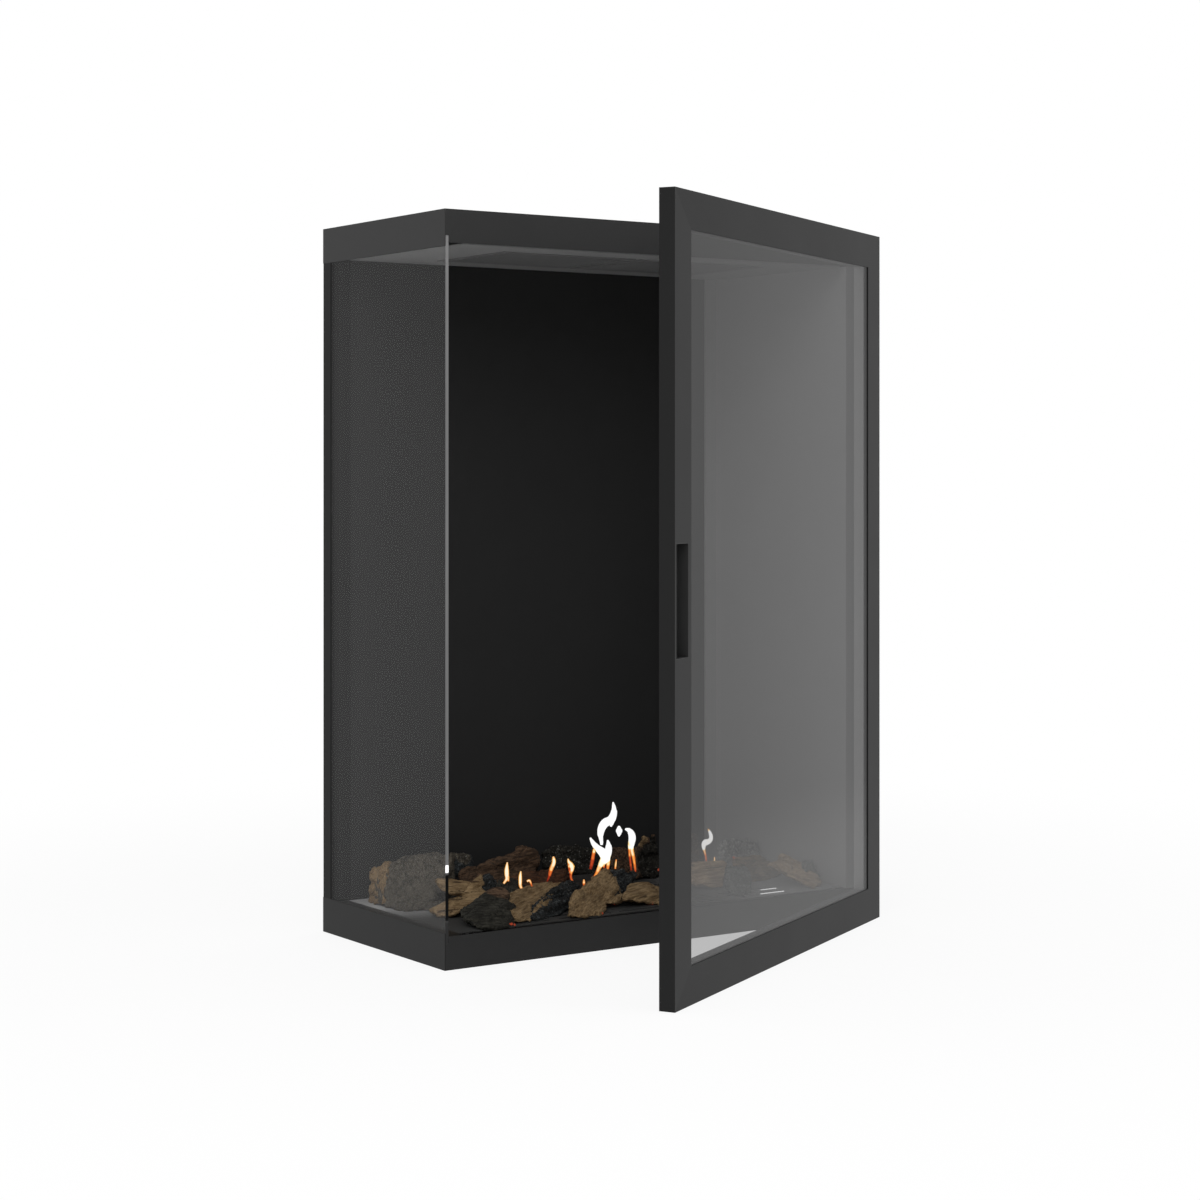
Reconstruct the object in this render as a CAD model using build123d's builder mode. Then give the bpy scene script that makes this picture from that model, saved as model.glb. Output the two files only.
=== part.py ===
"""A corner fireplace: a tall box with glass on its left side and a glazed front door.

Millimetres. The frame's origin is the middle of the base, +Z is up, and the front faces -Y.
Positions in the casing are given as distances from its left face (x) and its front face (y).
"""

import math
import os

from build123d import *

os.makedirs("parts", exist_ok=True)

# Casing
BODY_WIDTH = 765.0
BODY_DEPTH = 360.0
BODY_HEIGHT = 1060.0
SKIN = 1.2
PANEL = 1.5
PLATE = 2.0
HOOD_BAND_FRONT = 47.0
HOOD_BAND_LEFT = 52.0
BASE_BAND_FRONT = 47.0
BASE_BAND_LEFT = 52.0
FRONT_FLANGE_WIDTH = 18.0
POST_WIDTH = 24.0
REAR_CAVITY = 20.0
LINER_FRONT_Y = 16.0
LINER_LEFT_X = 31.0
LEFT_POST_BEYOND_LINER = 3.0
REAR_POST_BEFORE_LINER = 21.0
PANEL_END_GAP = 4.0

FLOOR_Z = BASE_BAND_FRONT
CEILING_Z = BODY_HEIGHT - HOOD_BAND_FRONT
LINER_BACK_Y = BODY_DEPTH - REAR_CAVITY
LINER_RIGHT_X = BODY_WIDTH - FRONT_FLANGE_WIDTH - POST_WIDTH
LEFT_POST_REACH = LINER_LEFT_X + LEFT_POST_BEYOND_LINER
REAR_POST_LEFT_X = LINER_RIGHT_X - REAR_POST_BEFORE_LINER

# Side glass
SIDE_GLASS_THICKNESS = 5.0
GLASS_END_GAP = 0.5
RAIL_HEIGHT = 12.0
RAIL_BITE = 10.0
SIDE_GLASS_FRONT_Y = GLASS_END_GAP
SIDE_GLASS_BACK_Y = BODY_DEPTH - POST_WIDTH - GLASS_END_GAP
SIDE_GLASS_BELOW = FLOOR_Z - RAIL_BITE
SIDE_GLASS_ABOVE = CEILING_Z + RAIL_BITE

# Ceiling grilles
GRILLE_DEPTH = 192.0
GRILLE_FORWARD = 8.0
GRILLE_EDGE = 145.0
GRILLE_GAP = 8.0
GRILLE_SLOT_WIDTH = 7.0
GRILLE_SLOT_PITCH = 15.0
GRILLE_SLOTS = 11
GRILLE_MARGIN = 14.0
GRILLE_SHEET = 1.0

# Burner
BURNER_SLOT_WIDTH = 6.0
BURNER_SLOT_LENGTH = 92.0
BURNER_SLOT_PITCH = 106.0
BURNER_SLOT_MARGIN = 8.0
FRONT_TUBE_Y = 50.0
REAR_TUBE_FROM_BACK = 158.0
FRONT_ROW_OFFSETS = (-20.0, 0.0, 20.0)
REAR_ROW_OFFSETS = (-10.0, 10.0)
TRAY_LEFT_X = 60.0
TRAY_FROM_RIGHT = 165.0
TRAY_FRONT_Y = 24.0
TRAY_BACK_GAP = 18.0
TRAY_UNDERSIDE_Z = 8.0
TUBE_RADIUS = 11.0
TUBE_BORE = 9.5
TUBE_Z = 24.0
TUBE_BEYOND_TRAY = 20.0
PORT_LENGTH = 10.0
PORT_PITCH = 20.0
PORT_MARGIN = 30.0
MANIFOLD_WIDTH = 10.0
MANIFOLD_END = 14.0
VALVE_WIDTH = 54.0
VALVE_DEPTH = 80.0
VALVE_FROM_MANIFOLD = 16.0
VALVE_BEHIND_MANIFOLD = 10.0

# Flue and gas connections
FLUE_INNER_RADIUS = 50.0
FLUE_OUTER_RADIUS = 75.0
FLUE_WALL = 1.2
FLUE_STAND = 10.0
FLUE_SOCKET = 48.0
FLUE_FLANGE_REACH = 17.0
FLUE_SCREWS = 6
FLUE_SCREW_REACH = 9.5
FLUE_FLANGE_RADIUS = FLUE_OUTER_RADIUS + FLUE_FLANGE_REACH
FLUE_SCREW_RADIUS = FLUE_OUTER_RADIUS + FLUE_SCREW_REACH
GAS_FROM_MANIFOLD = 34.0
GAS_Z = TUBE_Z
GAS_BORE_RADIUS = 9.3
GAS_BORE_LENGTH = 15.0
FIXING_HOLE_RADIUS = 4.5
FIXING_EDGE_X = 30.0
FIXING_EDGE_Y = 20.0

# Door
DOOR_REVEAL = 0.5
DOOR_WIDTH = BODY_WIDTH
DOOR_HEIGHT = BODY_HEIGHT - 2 * DOOR_REVEAL
DOOR_THICKNESS = 22.5
DOOR_GAP = 5.0
DOOR_REST_ANGLE = 29.45
DOOR_STILE = 51.0
DOOR_REBATE = 7.0
DOOR_TUBE = DOOR_STILE - DOOR_REBATE
DOOR_LIP = 2.5
DOOR_WALL = 1.5
DOOR_GLASS_SETBACK = 3.0
DOOR_GLASS_THICKNESS = 5.0
DOOR_GLASS_BITE = 6.0
SEAL_WIDTH = 8.0
SEAL_PROUD = 4.0
PULL_LEFT = 4.2
PULL_HEIGHT = 147.5
PULL_BELOW_MIDDLE = 76.5
PULL_DEPTH = 15.5
PULL_WALL = 1.0

# Hinges
PIVOT_FROM_END = 7.0
PIVOT_BEHIND_FACE = 17.0
HINGE_INSET = 119.5
PIN_RADIUS = 3.0
PIN_CLEARANCE = 0.06
PIN_REACH = 38.0
ARM_WIDTH = 11.0
ARM_HEIGHT = 36.0
HINGE_PLATE_THICKNESS = 2.5
HINGE_PLATE_HEIGHT = 48.0
POCKET_DEPTH = 15.0
POCKET_HALF_HEIGHT = 27.0
POCKET_BEYOND_PIVOT = 8.0
BUSH_HEIGHT = 12.0
BUSH_LENGTH = 13.5
MAGNET_HEIGHT = 12.0
MAGNET_INSET = 4.0

SCREW_RADIUS = 1.6
SCREW_CLEARANCE = 0.1

GRILLE_MIDDLE_Y = BODY_DEPTH / 2 - GRILLE_FORWARD
TRAY_RIGHT_X = BODY_WIDTH - TRAY_FROM_RIGHT
TRAY_BACK_Y = LINER_BACK_Y - TRAY_BACK_GAP
REAR_TUBE_Y = BODY_DEPTH - REAR_TUBE_FROM_BACK
MANIFOLD_X = TRAY_RIGHT_X + TUBE_BEYOND_TRAY
GAS_X = MANIFOLD_X + GAS_FROM_MANIFOLD
FLUE_TOP_Z = BODY_HEIGHT + FLUE_STAND
FLUE_BOTTOM_Z = FLUE_TOP_Z - FLUE_SOCKET
MIDDLE_Z = BODY_HEIGHT / 2
DOOR_BOTTOM_Z = DOOR_REVEAL
DOOR_TOP_Z = DOOR_BOTTOM_Z + DOOR_HEIGHT
PULL_RIGHT = DOOR_TUBE - DOOR_WALL - PULL_WALL
PULL_BOTTOM_Z = MIDDLE_Z - PULL_BELOW_MIDDLE
PULL_TOP_Z = PULL_BOTTOM_Z + PULL_HEIGHT
HINGE_HEIGHTS = (DOOR_BOTTOM_Z + HINGE_INSET, MIDDLE_Z, DOOR_TOP_Z - HINGE_INSET)
DOOR_INNER_Y = -DOOR_GAP
DOOR_OUTER_Y = DOOR_INNER_Y - DOOR_THICKNESS
PIVOT_X = DOOR_WIDTH - PIVOT_FROM_END
PIVOT_Y = DOOR_OUTER_Y + PIVOT_BEHIND_FACE
GLASS_OUTER_Y = DOOR_OUTER_Y + DOOR_GLASS_SETBACK
GLASS_INNER_Y = GLASS_OUTER_Y + DOOR_GLASS_THICKNESS
GLASS_EDGE = DOOR_STILE - DOOR_GLASS_BITE
GRILLE_WIDTH = (BODY_WIDTH - GRILLE_GAP) / 2 - GRILLE_EDGE

COSINE = math.cos(math.radians(DOOR_REST_ANGLE))
SINE = math.sin(math.radians(DOOR_REST_ANGLE))


def place(x, y):
    """Turn distances from the left and front faces into frame coordinates."""
    return (x - BODY_WIDTH / 2, y - BODY_DEPTH / 2)


PIVOT = place(PIVOT_X, PIVOT_Y)

# The door's own plane: its origin is on the hinge axis and its x axis runs along the open door.
DOOR_PLANE = Plane(origin=(*PIVOT, 0), x_dir=(COSINE, SINE, 0), z_dir=(0, 0, 1))


def block(x0, x1, y0, y1, z0, z1, mode=Mode.ADD):
    """A rectangular block in the casing, between two corners."""
    middle = place((x0 + x1) / 2, (y0 + y1) / 2)
    with Locations((*middle, (z0 + z1) / 2)):
        Box(x1 - x0, y1 - y0, z1 - z0, mode=mode)


def door_block(x0, x1, y0, y1, z0, z1, mode=Mode.ADD):
    """A rectangular block on the door, measured as if the door were closed."""
    with Locations(((x0 + x1) / 2 - PIVOT_X, (y0 + y1) / 2 - PIVOT_Y, (z0 + z1) / 2)):
        Box(x1 - x0, y1 - y0, z1 - z0, mode=mode)


def door_face(y):
    """The upright plane at depth y on the door; its normal points out of the room side."""
    offset = y - PIVOT_Y
    origin = (PIVOT[0] - SINE * offset, PIVOT[1] + COSINE * offset, 0)
    return Plane(origin=origin, x_dir=(COSINE, SINE, 0), z_dir=(SINE, -COSINE, 0))


def save(part, label):
    """Label a finished piece and write it to its own file."""
    part.label = label
    export_step(part, f"parts/{label}.step")


# Base: a floor plate with four fixing holes, and the two bands that hide it
with BuildPart() as base_plate:
    block(SKIN, BODY_WIDTH - SKIN, SKIN, BODY_DEPTH - SKIN, 0, PLATE)
    with BuildSketch(Plane.XY.offset(PLATE)):
        with GridLocations(BODY_WIDTH - 2 * FIXING_EDGE_X, BODY_DEPTH - 2 * FIXING_EDGE_Y, 2, 2):
            Circle(FIXING_HOLE_RADIUS)
    extrude(amount=-PLATE, mode=Mode.SUBTRACT)
save(base_plate.part, "base_plate")

RIGHT_FLANGE_X = BODY_WIDTH - FRONT_FLANGE_WIDTH

with BuildPart() as base_band_front:
    block(SKIN, RIGHT_FLANGE_X, 0, SKIN, 0, BASE_BAND_FRONT)
    block(SKIN, SKIN + SIDE_GLASS_THICKNESS, 0, SKIN, SIDE_GLASS_BELOW, BASE_BAND_FRONT, mode=Mode.SUBTRACT)
save(base_band_front.part, "base_band_front")

with BuildPart() as base_band_left:
    block(0, SKIN, 0, BODY_DEPTH, 0, BASE_BAND_LEFT)
save(base_band_left.part, "base_band_left")

HOOD_FRONT_Z = BODY_HEIGHT - HOOD_BAND_FRONT
HOOD_LEFT_Z = BODY_HEIGHT - HOOD_BAND_LEFT

with BuildPart() as hood_band_front:
    block(SKIN, RIGHT_FLANGE_X, 0, SKIN, HOOD_FRONT_Z, BODY_HEIGHT)
    block(SKIN, SKIN + SIDE_GLASS_THICKNESS, 0, SKIN, HOOD_FRONT_Z, SIDE_GLASS_ABOVE, mode=Mode.SUBTRACT)
save(hood_band_front.part, "hood_band_front")

with BuildPart() as hood_band_left:
    block(0, SKIN, 0, BODY_DEPTH, HOOD_LEFT_Z, BODY_HEIGHT)
save(hood_band_left.part, "hood_band_left")

# Top plate with the flue hole and the holes for the collar's screws
with BuildPart() as top_plate:
    block(SKIN, BODY_WIDTH - SKIN, SKIN, BODY_DEPTH - SKIN, BODY_HEIGHT - PLATE, BODY_HEIGHT)
    with BuildSketch(Plane.XY.offset(BODY_HEIGHT)):
        Circle(FLUE_OUTER_RADIUS)
        with PolarLocations(FLUE_SCREW_RADIUS, FLUE_SCREWS):
            Circle(SCREW_RADIUS + SCREW_CLEARANCE)
    extrude(amount=-PLATE, mode=Mode.SUBTRACT)
save(top_plate.part, "top_plate")

# Rear and right-hand skins, the front flange that carries the hinges
with BuildPart() as rear_panel:
    block(SKIN, BODY_WIDTH - SKIN, BODY_DEPTH - SKIN, BODY_DEPTH, 0, BODY_HEIGHT)
    gas_hole = Plane(origin=(*place(GAS_X, BODY_DEPTH), GAS_Z), z_dir=(0, 1, 0))
    with BuildSketch(gas_hole):
        Circle(14.0)
    extrude(amount=-PLATE, mode=Mode.SUBTRACT)
save(rear_panel.part, "rear_panel")

with BuildPart() as right_panel:
    block(BODY_WIDTH - SKIN, BODY_WIDTH, 0, BODY_DEPTH, 0, BODY_HEIGHT)
save(right_panel.part, "right_panel")

HINGE_SCREW_X = PIVOT_X - 1.0
HINGE_SCREW_OFFSET = 20.5

with BuildPart() as right_front_flange:
    block(RIGHT_FLANGE_X, BODY_WIDTH - SKIN, 0, SKIN, 0, BODY_HEIGHT)
    for height in HINGE_HEIGHTS:
        for side in (-HINGE_SCREW_OFFSET, HINGE_SCREW_OFFSET):
            spot = Plane(origin=(*place(HINGE_SCREW_X, -1), height + side), z_dir=(0, 1, 0))
            with BuildSketch(spot):
                Circle(SCREW_RADIUS + SCREW_CLEARANCE)
            extrude(amount=4, mode=Mode.SUBTRACT)
save(right_front_flange.part, "right_front_flange")

# Corner posts, folded from sheet as tubes
POST_BACK_Y = BODY_DEPTH - SKIN


def tube_post(x0, x1, y0, y1, z0, z1):
    """An upright box tube, open at both ends."""
    block(x0, x1, y0, y1, z0, z1)
    block(x0 + PANEL, x1 - PANEL, y0 + PANEL, y1 - PANEL, z0, z1, mode=Mode.SUBTRACT)


with BuildPart() as left_rear_post:
    tube_post(0, LEFT_POST_REACH, BODY_DEPTH - POST_WIDTH, POST_BACK_Y, BASE_BAND_LEFT, HOOD_LEFT_Z)
save(left_rear_post.part, "left_rear_post")

with BuildPart() as right_rear_post:
    rear_post_right = REAR_POST_LEFT_X + POST_WIDTH
    tube_post(REAR_POST_LEFT_X, rear_post_right, BODY_DEPTH - POST_WIDTH, POST_BACK_Y, FLOOR_Z, CEILING_Z)
save(right_rear_post.part, "right_rear_post")

with BuildPart() as right_front_post:
    tube_post(LINER_RIGHT_X, LINER_RIGHT_X + POST_WIDTH, 0, POST_WIDTH, FLOOR_Z, CEILING_Z)
save(right_front_post.part, "right_front_post")

# Side glass with its polished front edge flush with the front, held in two rails
GLASS_LEFT_X = SKIN
GLASS_RIGHT_X = SKIN + SIDE_GLASS_THICKNESS
with BuildPart() as left_glass:
    block(GLASS_LEFT_X, GLASS_RIGHT_X, SIDE_GLASS_FRONT_Y, SIDE_GLASS_BACK_Y, SIDE_GLASS_BELOW, SIDE_GLASS_ABOVE)
save(left_glass.part, "left_glass")

with BuildPart() as glass_rails:
    for z0 in (FLOOR_Z - RAIL_HEIGHT, CEILING_Z):
        z1 = z0 + RAIL_HEIGHT
        block(GLASS_RIGHT_X, LINER_LEFT_X, SKIN + 0.3, BODY_DEPTH - POST_WIDTH, z0, z1)
        hollow_x = (GLASS_RIGHT_X + PANEL, LINER_LEFT_X - PANEL)
        block(*hollow_x, 0, BODY_DEPTH, z0 + PANEL, z1 - PANEL, mode=Mode.SUBTRACT)
save(glass_rails.part, "glass_rails")

# Firebox ceiling, pierced under each grille by the same slots
GRILLE_FRONT_Y = GRILLE_MIDDLE_Y - GRILLE_DEPTH / 2
GRILLE_SPANS = (
    (BODY_WIDTH / 2 - GRILLE_GAP / 2 - GRILLE_WIDTH, BODY_WIDTH / 2 - GRILLE_GAP / 2),
    (BODY_WIDTH / 2 + GRILLE_GAP / 2, BODY_WIDTH / 2 + GRILLE_GAP / 2 + GRILLE_WIDTH),
)


def cut_grille_slots(span, z):
    """Cut one grille's row of long slots, which run along x."""
    middle = place((span[0] + span[1]) / 2, GRILLE_MIDDLE_Y)
    with BuildSketch(Plane.XY.offset(z)) as slots:
        with Locations(middle):
            with GridLocations(0, GRILLE_SLOT_PITCH, 1, GRILLE_SLOTS):
                SlotOverall(GRILLE_WIDTH - 2 * GRILLE_MARGIN, GRILLE_SLOT_WIDTH)
    extrude(slots.sketch, amount=6, both=True, mode=Mode.SUBTRACT)


PANEL_BACK_Y = LINER_BACK_Y - PANEL_END_GAP
with BuildPart() as ceiling_panel:
    block(LINER_LEFT_X, LINER_RIGHT_X, LINER_FRONT_Y, PANEL_BACK_Y, CEILING_Z, CEILING_Z + PANEL)
    for span in GRILLE_SPANS:
        cut_grille_slots(span, CEILING_Z)
save(ceiling_panel.part, "ceiling_panel")

with BuildPart() as ceiling_grilles:
    for span in GRILLE_SPANS:
        grille_y = (GRILLE_FRONT_Y, GRILLE_FRONT_Y + GRILLE_DEPTH)
        block(*span, *grille_y, CEILING_Z - GRILLE_SHEET, CEILING_Z)
    for span in GRILLE_SPANS:
        cut_grille_slots(span, CEILING_Z)
save(ceiling_grilles.part, "ceiling_grilles")

# Bars that carry the firebox floor and hang its ceiling
with BuildPart() as liner_bearers:
    bearer_y = (LINER_FRONT_Y + 4, LINER_BACK_Y - 10)
    for x in (LINER_LEFT_X + 15, LINER_RIGHT_X - 11):
        block(x, x + 6, *bearer_y, PLATE, FLOOR_Z - PANEL)
        block(x, x + 6, *bearer_y, CEILING_Z + PANEL, BODY_HEIGHT - PLATE)
save(liner_bearers.part, "liner_bearers")

# Firebox liners
with BuildPart() as rear_liner:
    block(LEFT_POST_REACH, REAR_POST_LEFT_X, LINER_BACK_Y, LINER_BACK_Y + PANEL, FLOOR_Z, CEILING_Z)
save(rear_liner.part, "rear_liner")

with BuildPart() as rear_insulation:
    board_z = (FLOOR_Z + 13, CEILING_Z - 13)
    block(LEFT_POST_REACH + 2, REAR_POST_LEFT_X - 2, LINER_BACK_Y + 2, POST_BACK_Y - 1, *board_z)
save(rear_insulation.part, "rear_insulation")

with BuildPart() as right_liner:
    liner_y = (POST_WIDTH, BODY_DEPTH - POST_WIDTH)
    block(LINER_RIGHT_X, LINER_RIGHT_X + PANEL, *liner_y, FLOOR_Z, CEILING_Z)
save(right_liner.part, "right_liner")

# Hearth floor, slotted over the burner tubes
SLOT_SPAN = MANIFOLD_X - 1 - TRAY_LEFT_X - BURNER_SLOT_MARGIN
SLOT_COLUMNS = int(SLOT_SPAN / BURNER_SLOT_PITCH)
SLOT_LAST_X = MANIFOLD_X - 1 - BURNER_SLOT_LENGTH / 2
SLOT_MIDDLE_X = SLOT_LAST_X - BURNER_SLOT_PITCH * (SLOT_COLUMNS - 1) / 2
SLOT_ROWS = [FRONT_TUBE_Y + offset for offset in FRONT_ROW_OFFSETS]
SLOT_ROWS += [REAR_TUBE_Y + offset for offset in REAR_ROW_OFFSETS]
with BuildPart() as hearth_floor:
    block(LINER_LEFT_X, LINER_RIGHT_X, LINER_FRONT_Y, PANEL_BACK_Y, FLOOR_Z - PANEL, FLOOR_Z)
    with BuildSketch(Plane.XY.offset(FLOOR_Z)):
        for row in SLOT_ROWS:
            with Locations(place(SLOT_MIDDLE_X, row)):
                with GridLocations(BURNER_SLOT_PITCH, 0, SLOT_COLUMNS, 1):
                    SlotOverall(BURNER_SLOT_LENGTH, BURNER_SLOT_WIDTH)
    extrude(amount=-2 * PANEL, mode=Mode.SUBTRACT)
save(hearth_floor.part, "hearth_floor")

# The hearth's layout is drawn for one bed and follows it when the firebox grows or shrinks
DRAWN_BED_X = (31.0, 723.0)
DRAWN_BED_Y = (16.0, 336.0)


def on_bed(x, y):
    """Where a place of the drawn hearth lies on this hearth floor."""
    across = (x - DRAWN_BED_X[0]) / (DRAWN_BED_X[1] - DRAWN_BED_X[0])
    along = (y - DRAWN_BED_Y[0]) / (DRAWN_BED_Y[1] - DRAWN_BED_Y[0])
    bed_x = LINER_LEFT_X + across * (LINER_RIGHT_X - LINER_LEFT_X)
    bed_y = LINER_FRONT_Y + along * (PANEL_BACK_Y - LINER_FRONT_Y)
    return (bed_x, bed_y)


# Raised burner cover at the back: a low ladder of bars
DECK_NEAR = on_bed(358.0, 208.0)
DECK_FAR = on_bed(446.0, 262.0)
DECK = (DECK_NEAR[0], DECK_FAR[0], DECK_NEAR[1], DECK_FAR[1])
DECK_BARS = 5
DECK_BAR_PITCH = (DECK[3] - DECK[2] - 9.0) / DECK_BARS
DECK_TOP_Z = FLOOR_Z + 15.0
with BuildPart() as burner_deck:
    block(*DECK, FLOOR_Z, DECK_TOP_Z)
    block(DECK[0] + 6, DECK[1] - 6, DECK[2] + 6, DECK[3] - 6, FLOOR_Z, DECK_TOP_Z - 3, mode=Mode.SUBTRACT)
    with BuildSketch(Plane.XY.offset(DECK_TOP_Z)):
        with Locations(place((DECK[0] + DECK[1]) / 2, (DECK[2] + DECK[3]) / 2)):
            with GridLocations(0, DECK_BAR_PITCH, 1, DECK_BARS):
                Rectangle(DECK[1] - DECK[0] - 14, DECK_BAR_PITCH - 4.0)
    extrude(amount=-6, mode=Mode.SUBTRACT)
save(burner_deck.part, "burner_deck")

# Burner tray and gas train under the floor
TRAY_TOP_Z = FLOOR_Z - PANEL
with BuildPart() as burner_tray:
    block(TRAY_LEFT_X, TRAY_RIGHT_X, TRAY_FRONT_Y, TRAY_BACK_Y, TRAY_UNDERSIDE_Z, TRAY_TOP_Z)
    inside_x = (TRAY_LEFT_X + SKIN, TRAY_RIGHT_X - SKIN)
    inside_y = (TRAY_FRONT_Y + SKIN, TRAY_BACK_Y - SKIN)
    block(*inside_x, *inside_y, TRAY_UNDERSIDE_Z + SKIN, TRAY_TOP_Z + 1, mode=Mode.SUBTRACT)
    for y in (FRONT_TUBE_Y, REAR_TUBE_Y):
        mouth = Plane(origin=(*place(TRAY_RIGHT_X - 3, y), TUBE_Z), z_dir=(1, 0, 0))
        with BuildSketch(mouth):
            Circle(TUBE_RADIUS + 0.5)
        extrude(amount=6, mode=Mode.SUBTRACT)
save(burner_tray.part, "burner_tray")

TUBE_START_X = TRAY_LEFT_X + 12
PORT_COUNT = int((TRAY_RIGHT_X - TRAY_LEFT_X - 2 * PORT_MARGIN) / PORT_PITCH)
with BuildPart() as burner_tubes:
    for y in (FRONT_TUBE_Y, REAR_TUBE_Y):
        start = Plane(origin=(*place(TUBE_START_X, y), TUBE_Z), z_dir=(1, 0, 0))
        with BuildSketch(start) as ring:
            Circle(TUBE_RADIUS)
            Circle(TUBE_BORE, mode=Mode.SUBTRACT)
        extrude(amount=MANIFOLD_X - TUBE_START_X)
        for column in range(PORT_COUNT):
            port_x = TRAY_LEFT_X + PORT_MARGIN + PORT_PITCH * column
            block(port_x, port_x + PORT_LENGTH, y - 1, y + 1, TUBE_Z, TUBE_Z + 14, mode=Mode.SUBTRACT)
save(burner_tubes.part, "burner_tubes")

MANIFOLD_Y = (FRONT_TUBE_Y - MANIFOLD_END, REAR_TUBE_Y + MANIFOLD_END)
MANIFOLD_HOLLOW_X = (MANIFOLD_X + 2, MANIFOLD_X + MANIFOLD_WIDTH - 2)
MANIFOLD_HOLLOW_Y = (MANIFOLD_Y[0] + 2, MANIFOLD_Y[1] - 2)
with BuildPart() as gas_manifold:
    block(MANIFOLD_X, MANIFOLD_X + MANIFOLD_WIDTH, *MANIFOLD_Y, TUBE_Z - 12, TUBE_Z + 12)
    block(*MANIFOLD_HOLLOW_X, *MANIFOLD_HOLLOW_Y, TUBE_Z - 10, TUBE_Z + 10, mode=Mode.SUBTRACT)
    for y in (FRONT_TUBE_Y, REAR_TUBE_Y):
        port = Plane(origin=(*place(MANIFOLD_X - 1, y), TUBE_Z), z_dir=(1, 0, 0))
        with BuildSketch(port):
            Circle(TUBE_BORE)
        extrude(amount=4, mode=Mode.SUBTRACT)
save(gas_manifold.part, "gas_manifold")

VALVE_LEFT_X = MANIFOLD_X + VALVE_FROM_MANIFOLD
VALVE_FRONT_Y = MANIFOLD_Y[1] + VALVE_BEHIND_MANIFOLD
VALVE = (VALVE_LEFT_X, VALVE_LEFT_X + VALVE_WIDTH, VALVE_FRONT_Y, VALVE_FRONT_Y + VALVE_DEPTH)
VALVE_TOP_Z = FLOOR_Z - 5
with BuildPart() as gas_valve:
    block(*VALVE, 6, VALVE_TOP_Z)
    chamfer(gas_valve.edges().filter_by(Axis.Z), 3)
    with Locations((*place(VALVE_LEFT_X + VALVE_WIDTH / 2, VALVE_FRONT_Y + 24), VALVE_TOP_Z + 1)):
        Cylinder(9, 2)
    pipe_z = (TUBE_Z - 5, TUBE_Z + 5)
    block(MANIFOLD_X, VALVE[0], VALVE_FRONT_Y + 2, VALVE_FRONT_Y + 14, *pipe_z)
    block(MANIFOLD_X, MANIFOLD_X + MANIFOLD_WIDTH, MANIFOLD_Y[1], VALVE_FRONT_Y + 14, *pipe_z)
save(gas_valve.part, "gas_valve")

with BuildPart() as gas_inlet_union:
    back = Plane(origin=(*place(GAS_X, POST_BACK_Y), GAS_Z), z_dir=(0, 1, 0))
    with BuildSketch(back):
        RegularPolygon(16.0, 6)
    extrude(amount=-22)
    with BuildSketch(back.offset(-22)):
        Circle(9.0)
    extrude(amount=-(POST_BACK_Y - 22 - VALVE[3]))
    with BuildSketch(back):
        Circle(GAS_BORE_RADIUS)
    extrude(amount=-GAS_BORE_LENGTH, mode=Mode.SUBTRACT)
    with BuildSketch(back.offset(-GAS_BORE_LENGTH)):
        Circle(5.0)
    extrude(amount=-60, mode=Mode.SUBTRACT)
save(gas_inlet_union.part, "gas_inlet_union")

CONTROL_X = MANIFOLD_X + 20
CONTROL_TOP_Z = FLOOR_Z - 9
with BuildPart() as control_box:
    block(CONTROL_X, CONTROL_X + 60, 40, REAR_TUBE_Y - 2, PLATE, CONTROL_TOP_Z)
    fillet(control_box.edges().filter_by(Axis.Z), 3)
    for column in range(5):
        vent_x = CONTROL_X + 12 + 8 * column
        block(vent_x, vent_x + 3, 60, 110, CONTROL_TOP_Z - 2, CONTROL_TOP_Z, mode=Mode.SUBTRACT)
save(control_box.part, "control_box")

PILOT = on_bed(340.0, 300.0)
with BuildPart() as pilot_assembly:
    block(PILOT[0] - 14, PILOT[0] + 14, PILOT[1] + 10, PILOT[1] + 13, FLOOR_Z, FLOOR_Z + 22)
    block(PILOT[0] - 14, PILOT[0] + 14, PILOT[1] + 10, PILOT[1] + 24, FLOOR_Z, FLOOR_Z + 2)
    for x, radius, height in ((-8, 2.0, 30.0), (0, 3.5, 26.0), (8, 1.6, 34.0)):
        with Locations((*place(PILOT[0] + x, PILOT[1] + 18), FLOOR_Z + height / 2)):
            Cylinder(radius, height)
save(pilot_assembly.part, "pilot_assembly")

# Concentric flue collar
with BuildPart() as flue_collar_inner:
    with BuildSketch(Plane.XY.offset(FLUE_BOTTOM_Z)):
        Circle(FLUE_INNER_RADIUS + FLUE_WALL)
        Circle(FLUE_INNER_RADIUS, mode=Mode.SUBTRACT)
    extrude(amount=FLUE_TOP_Z - FLUE_BOTTOM_Z)
    for angle in (30, 150, 270):
        spoke_x = (FLUE_INNER_RADIUS + FLUE_WALL / 2 + FLUE_OUTER_RADIUS) / 2
        with PolarLocations(spoke_x, 1, start_angle=angle):
            with Locations((0, 0, FLUE_BOTTOM_Z + 8)):
                Box(FLUE_OUTER_RADIUS - FLUE_INNER_RADIUS - FLUE_WALL / 2, 12, 1.5)
save(flue_collar_inner.part, "flue_collar_inner")

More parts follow.
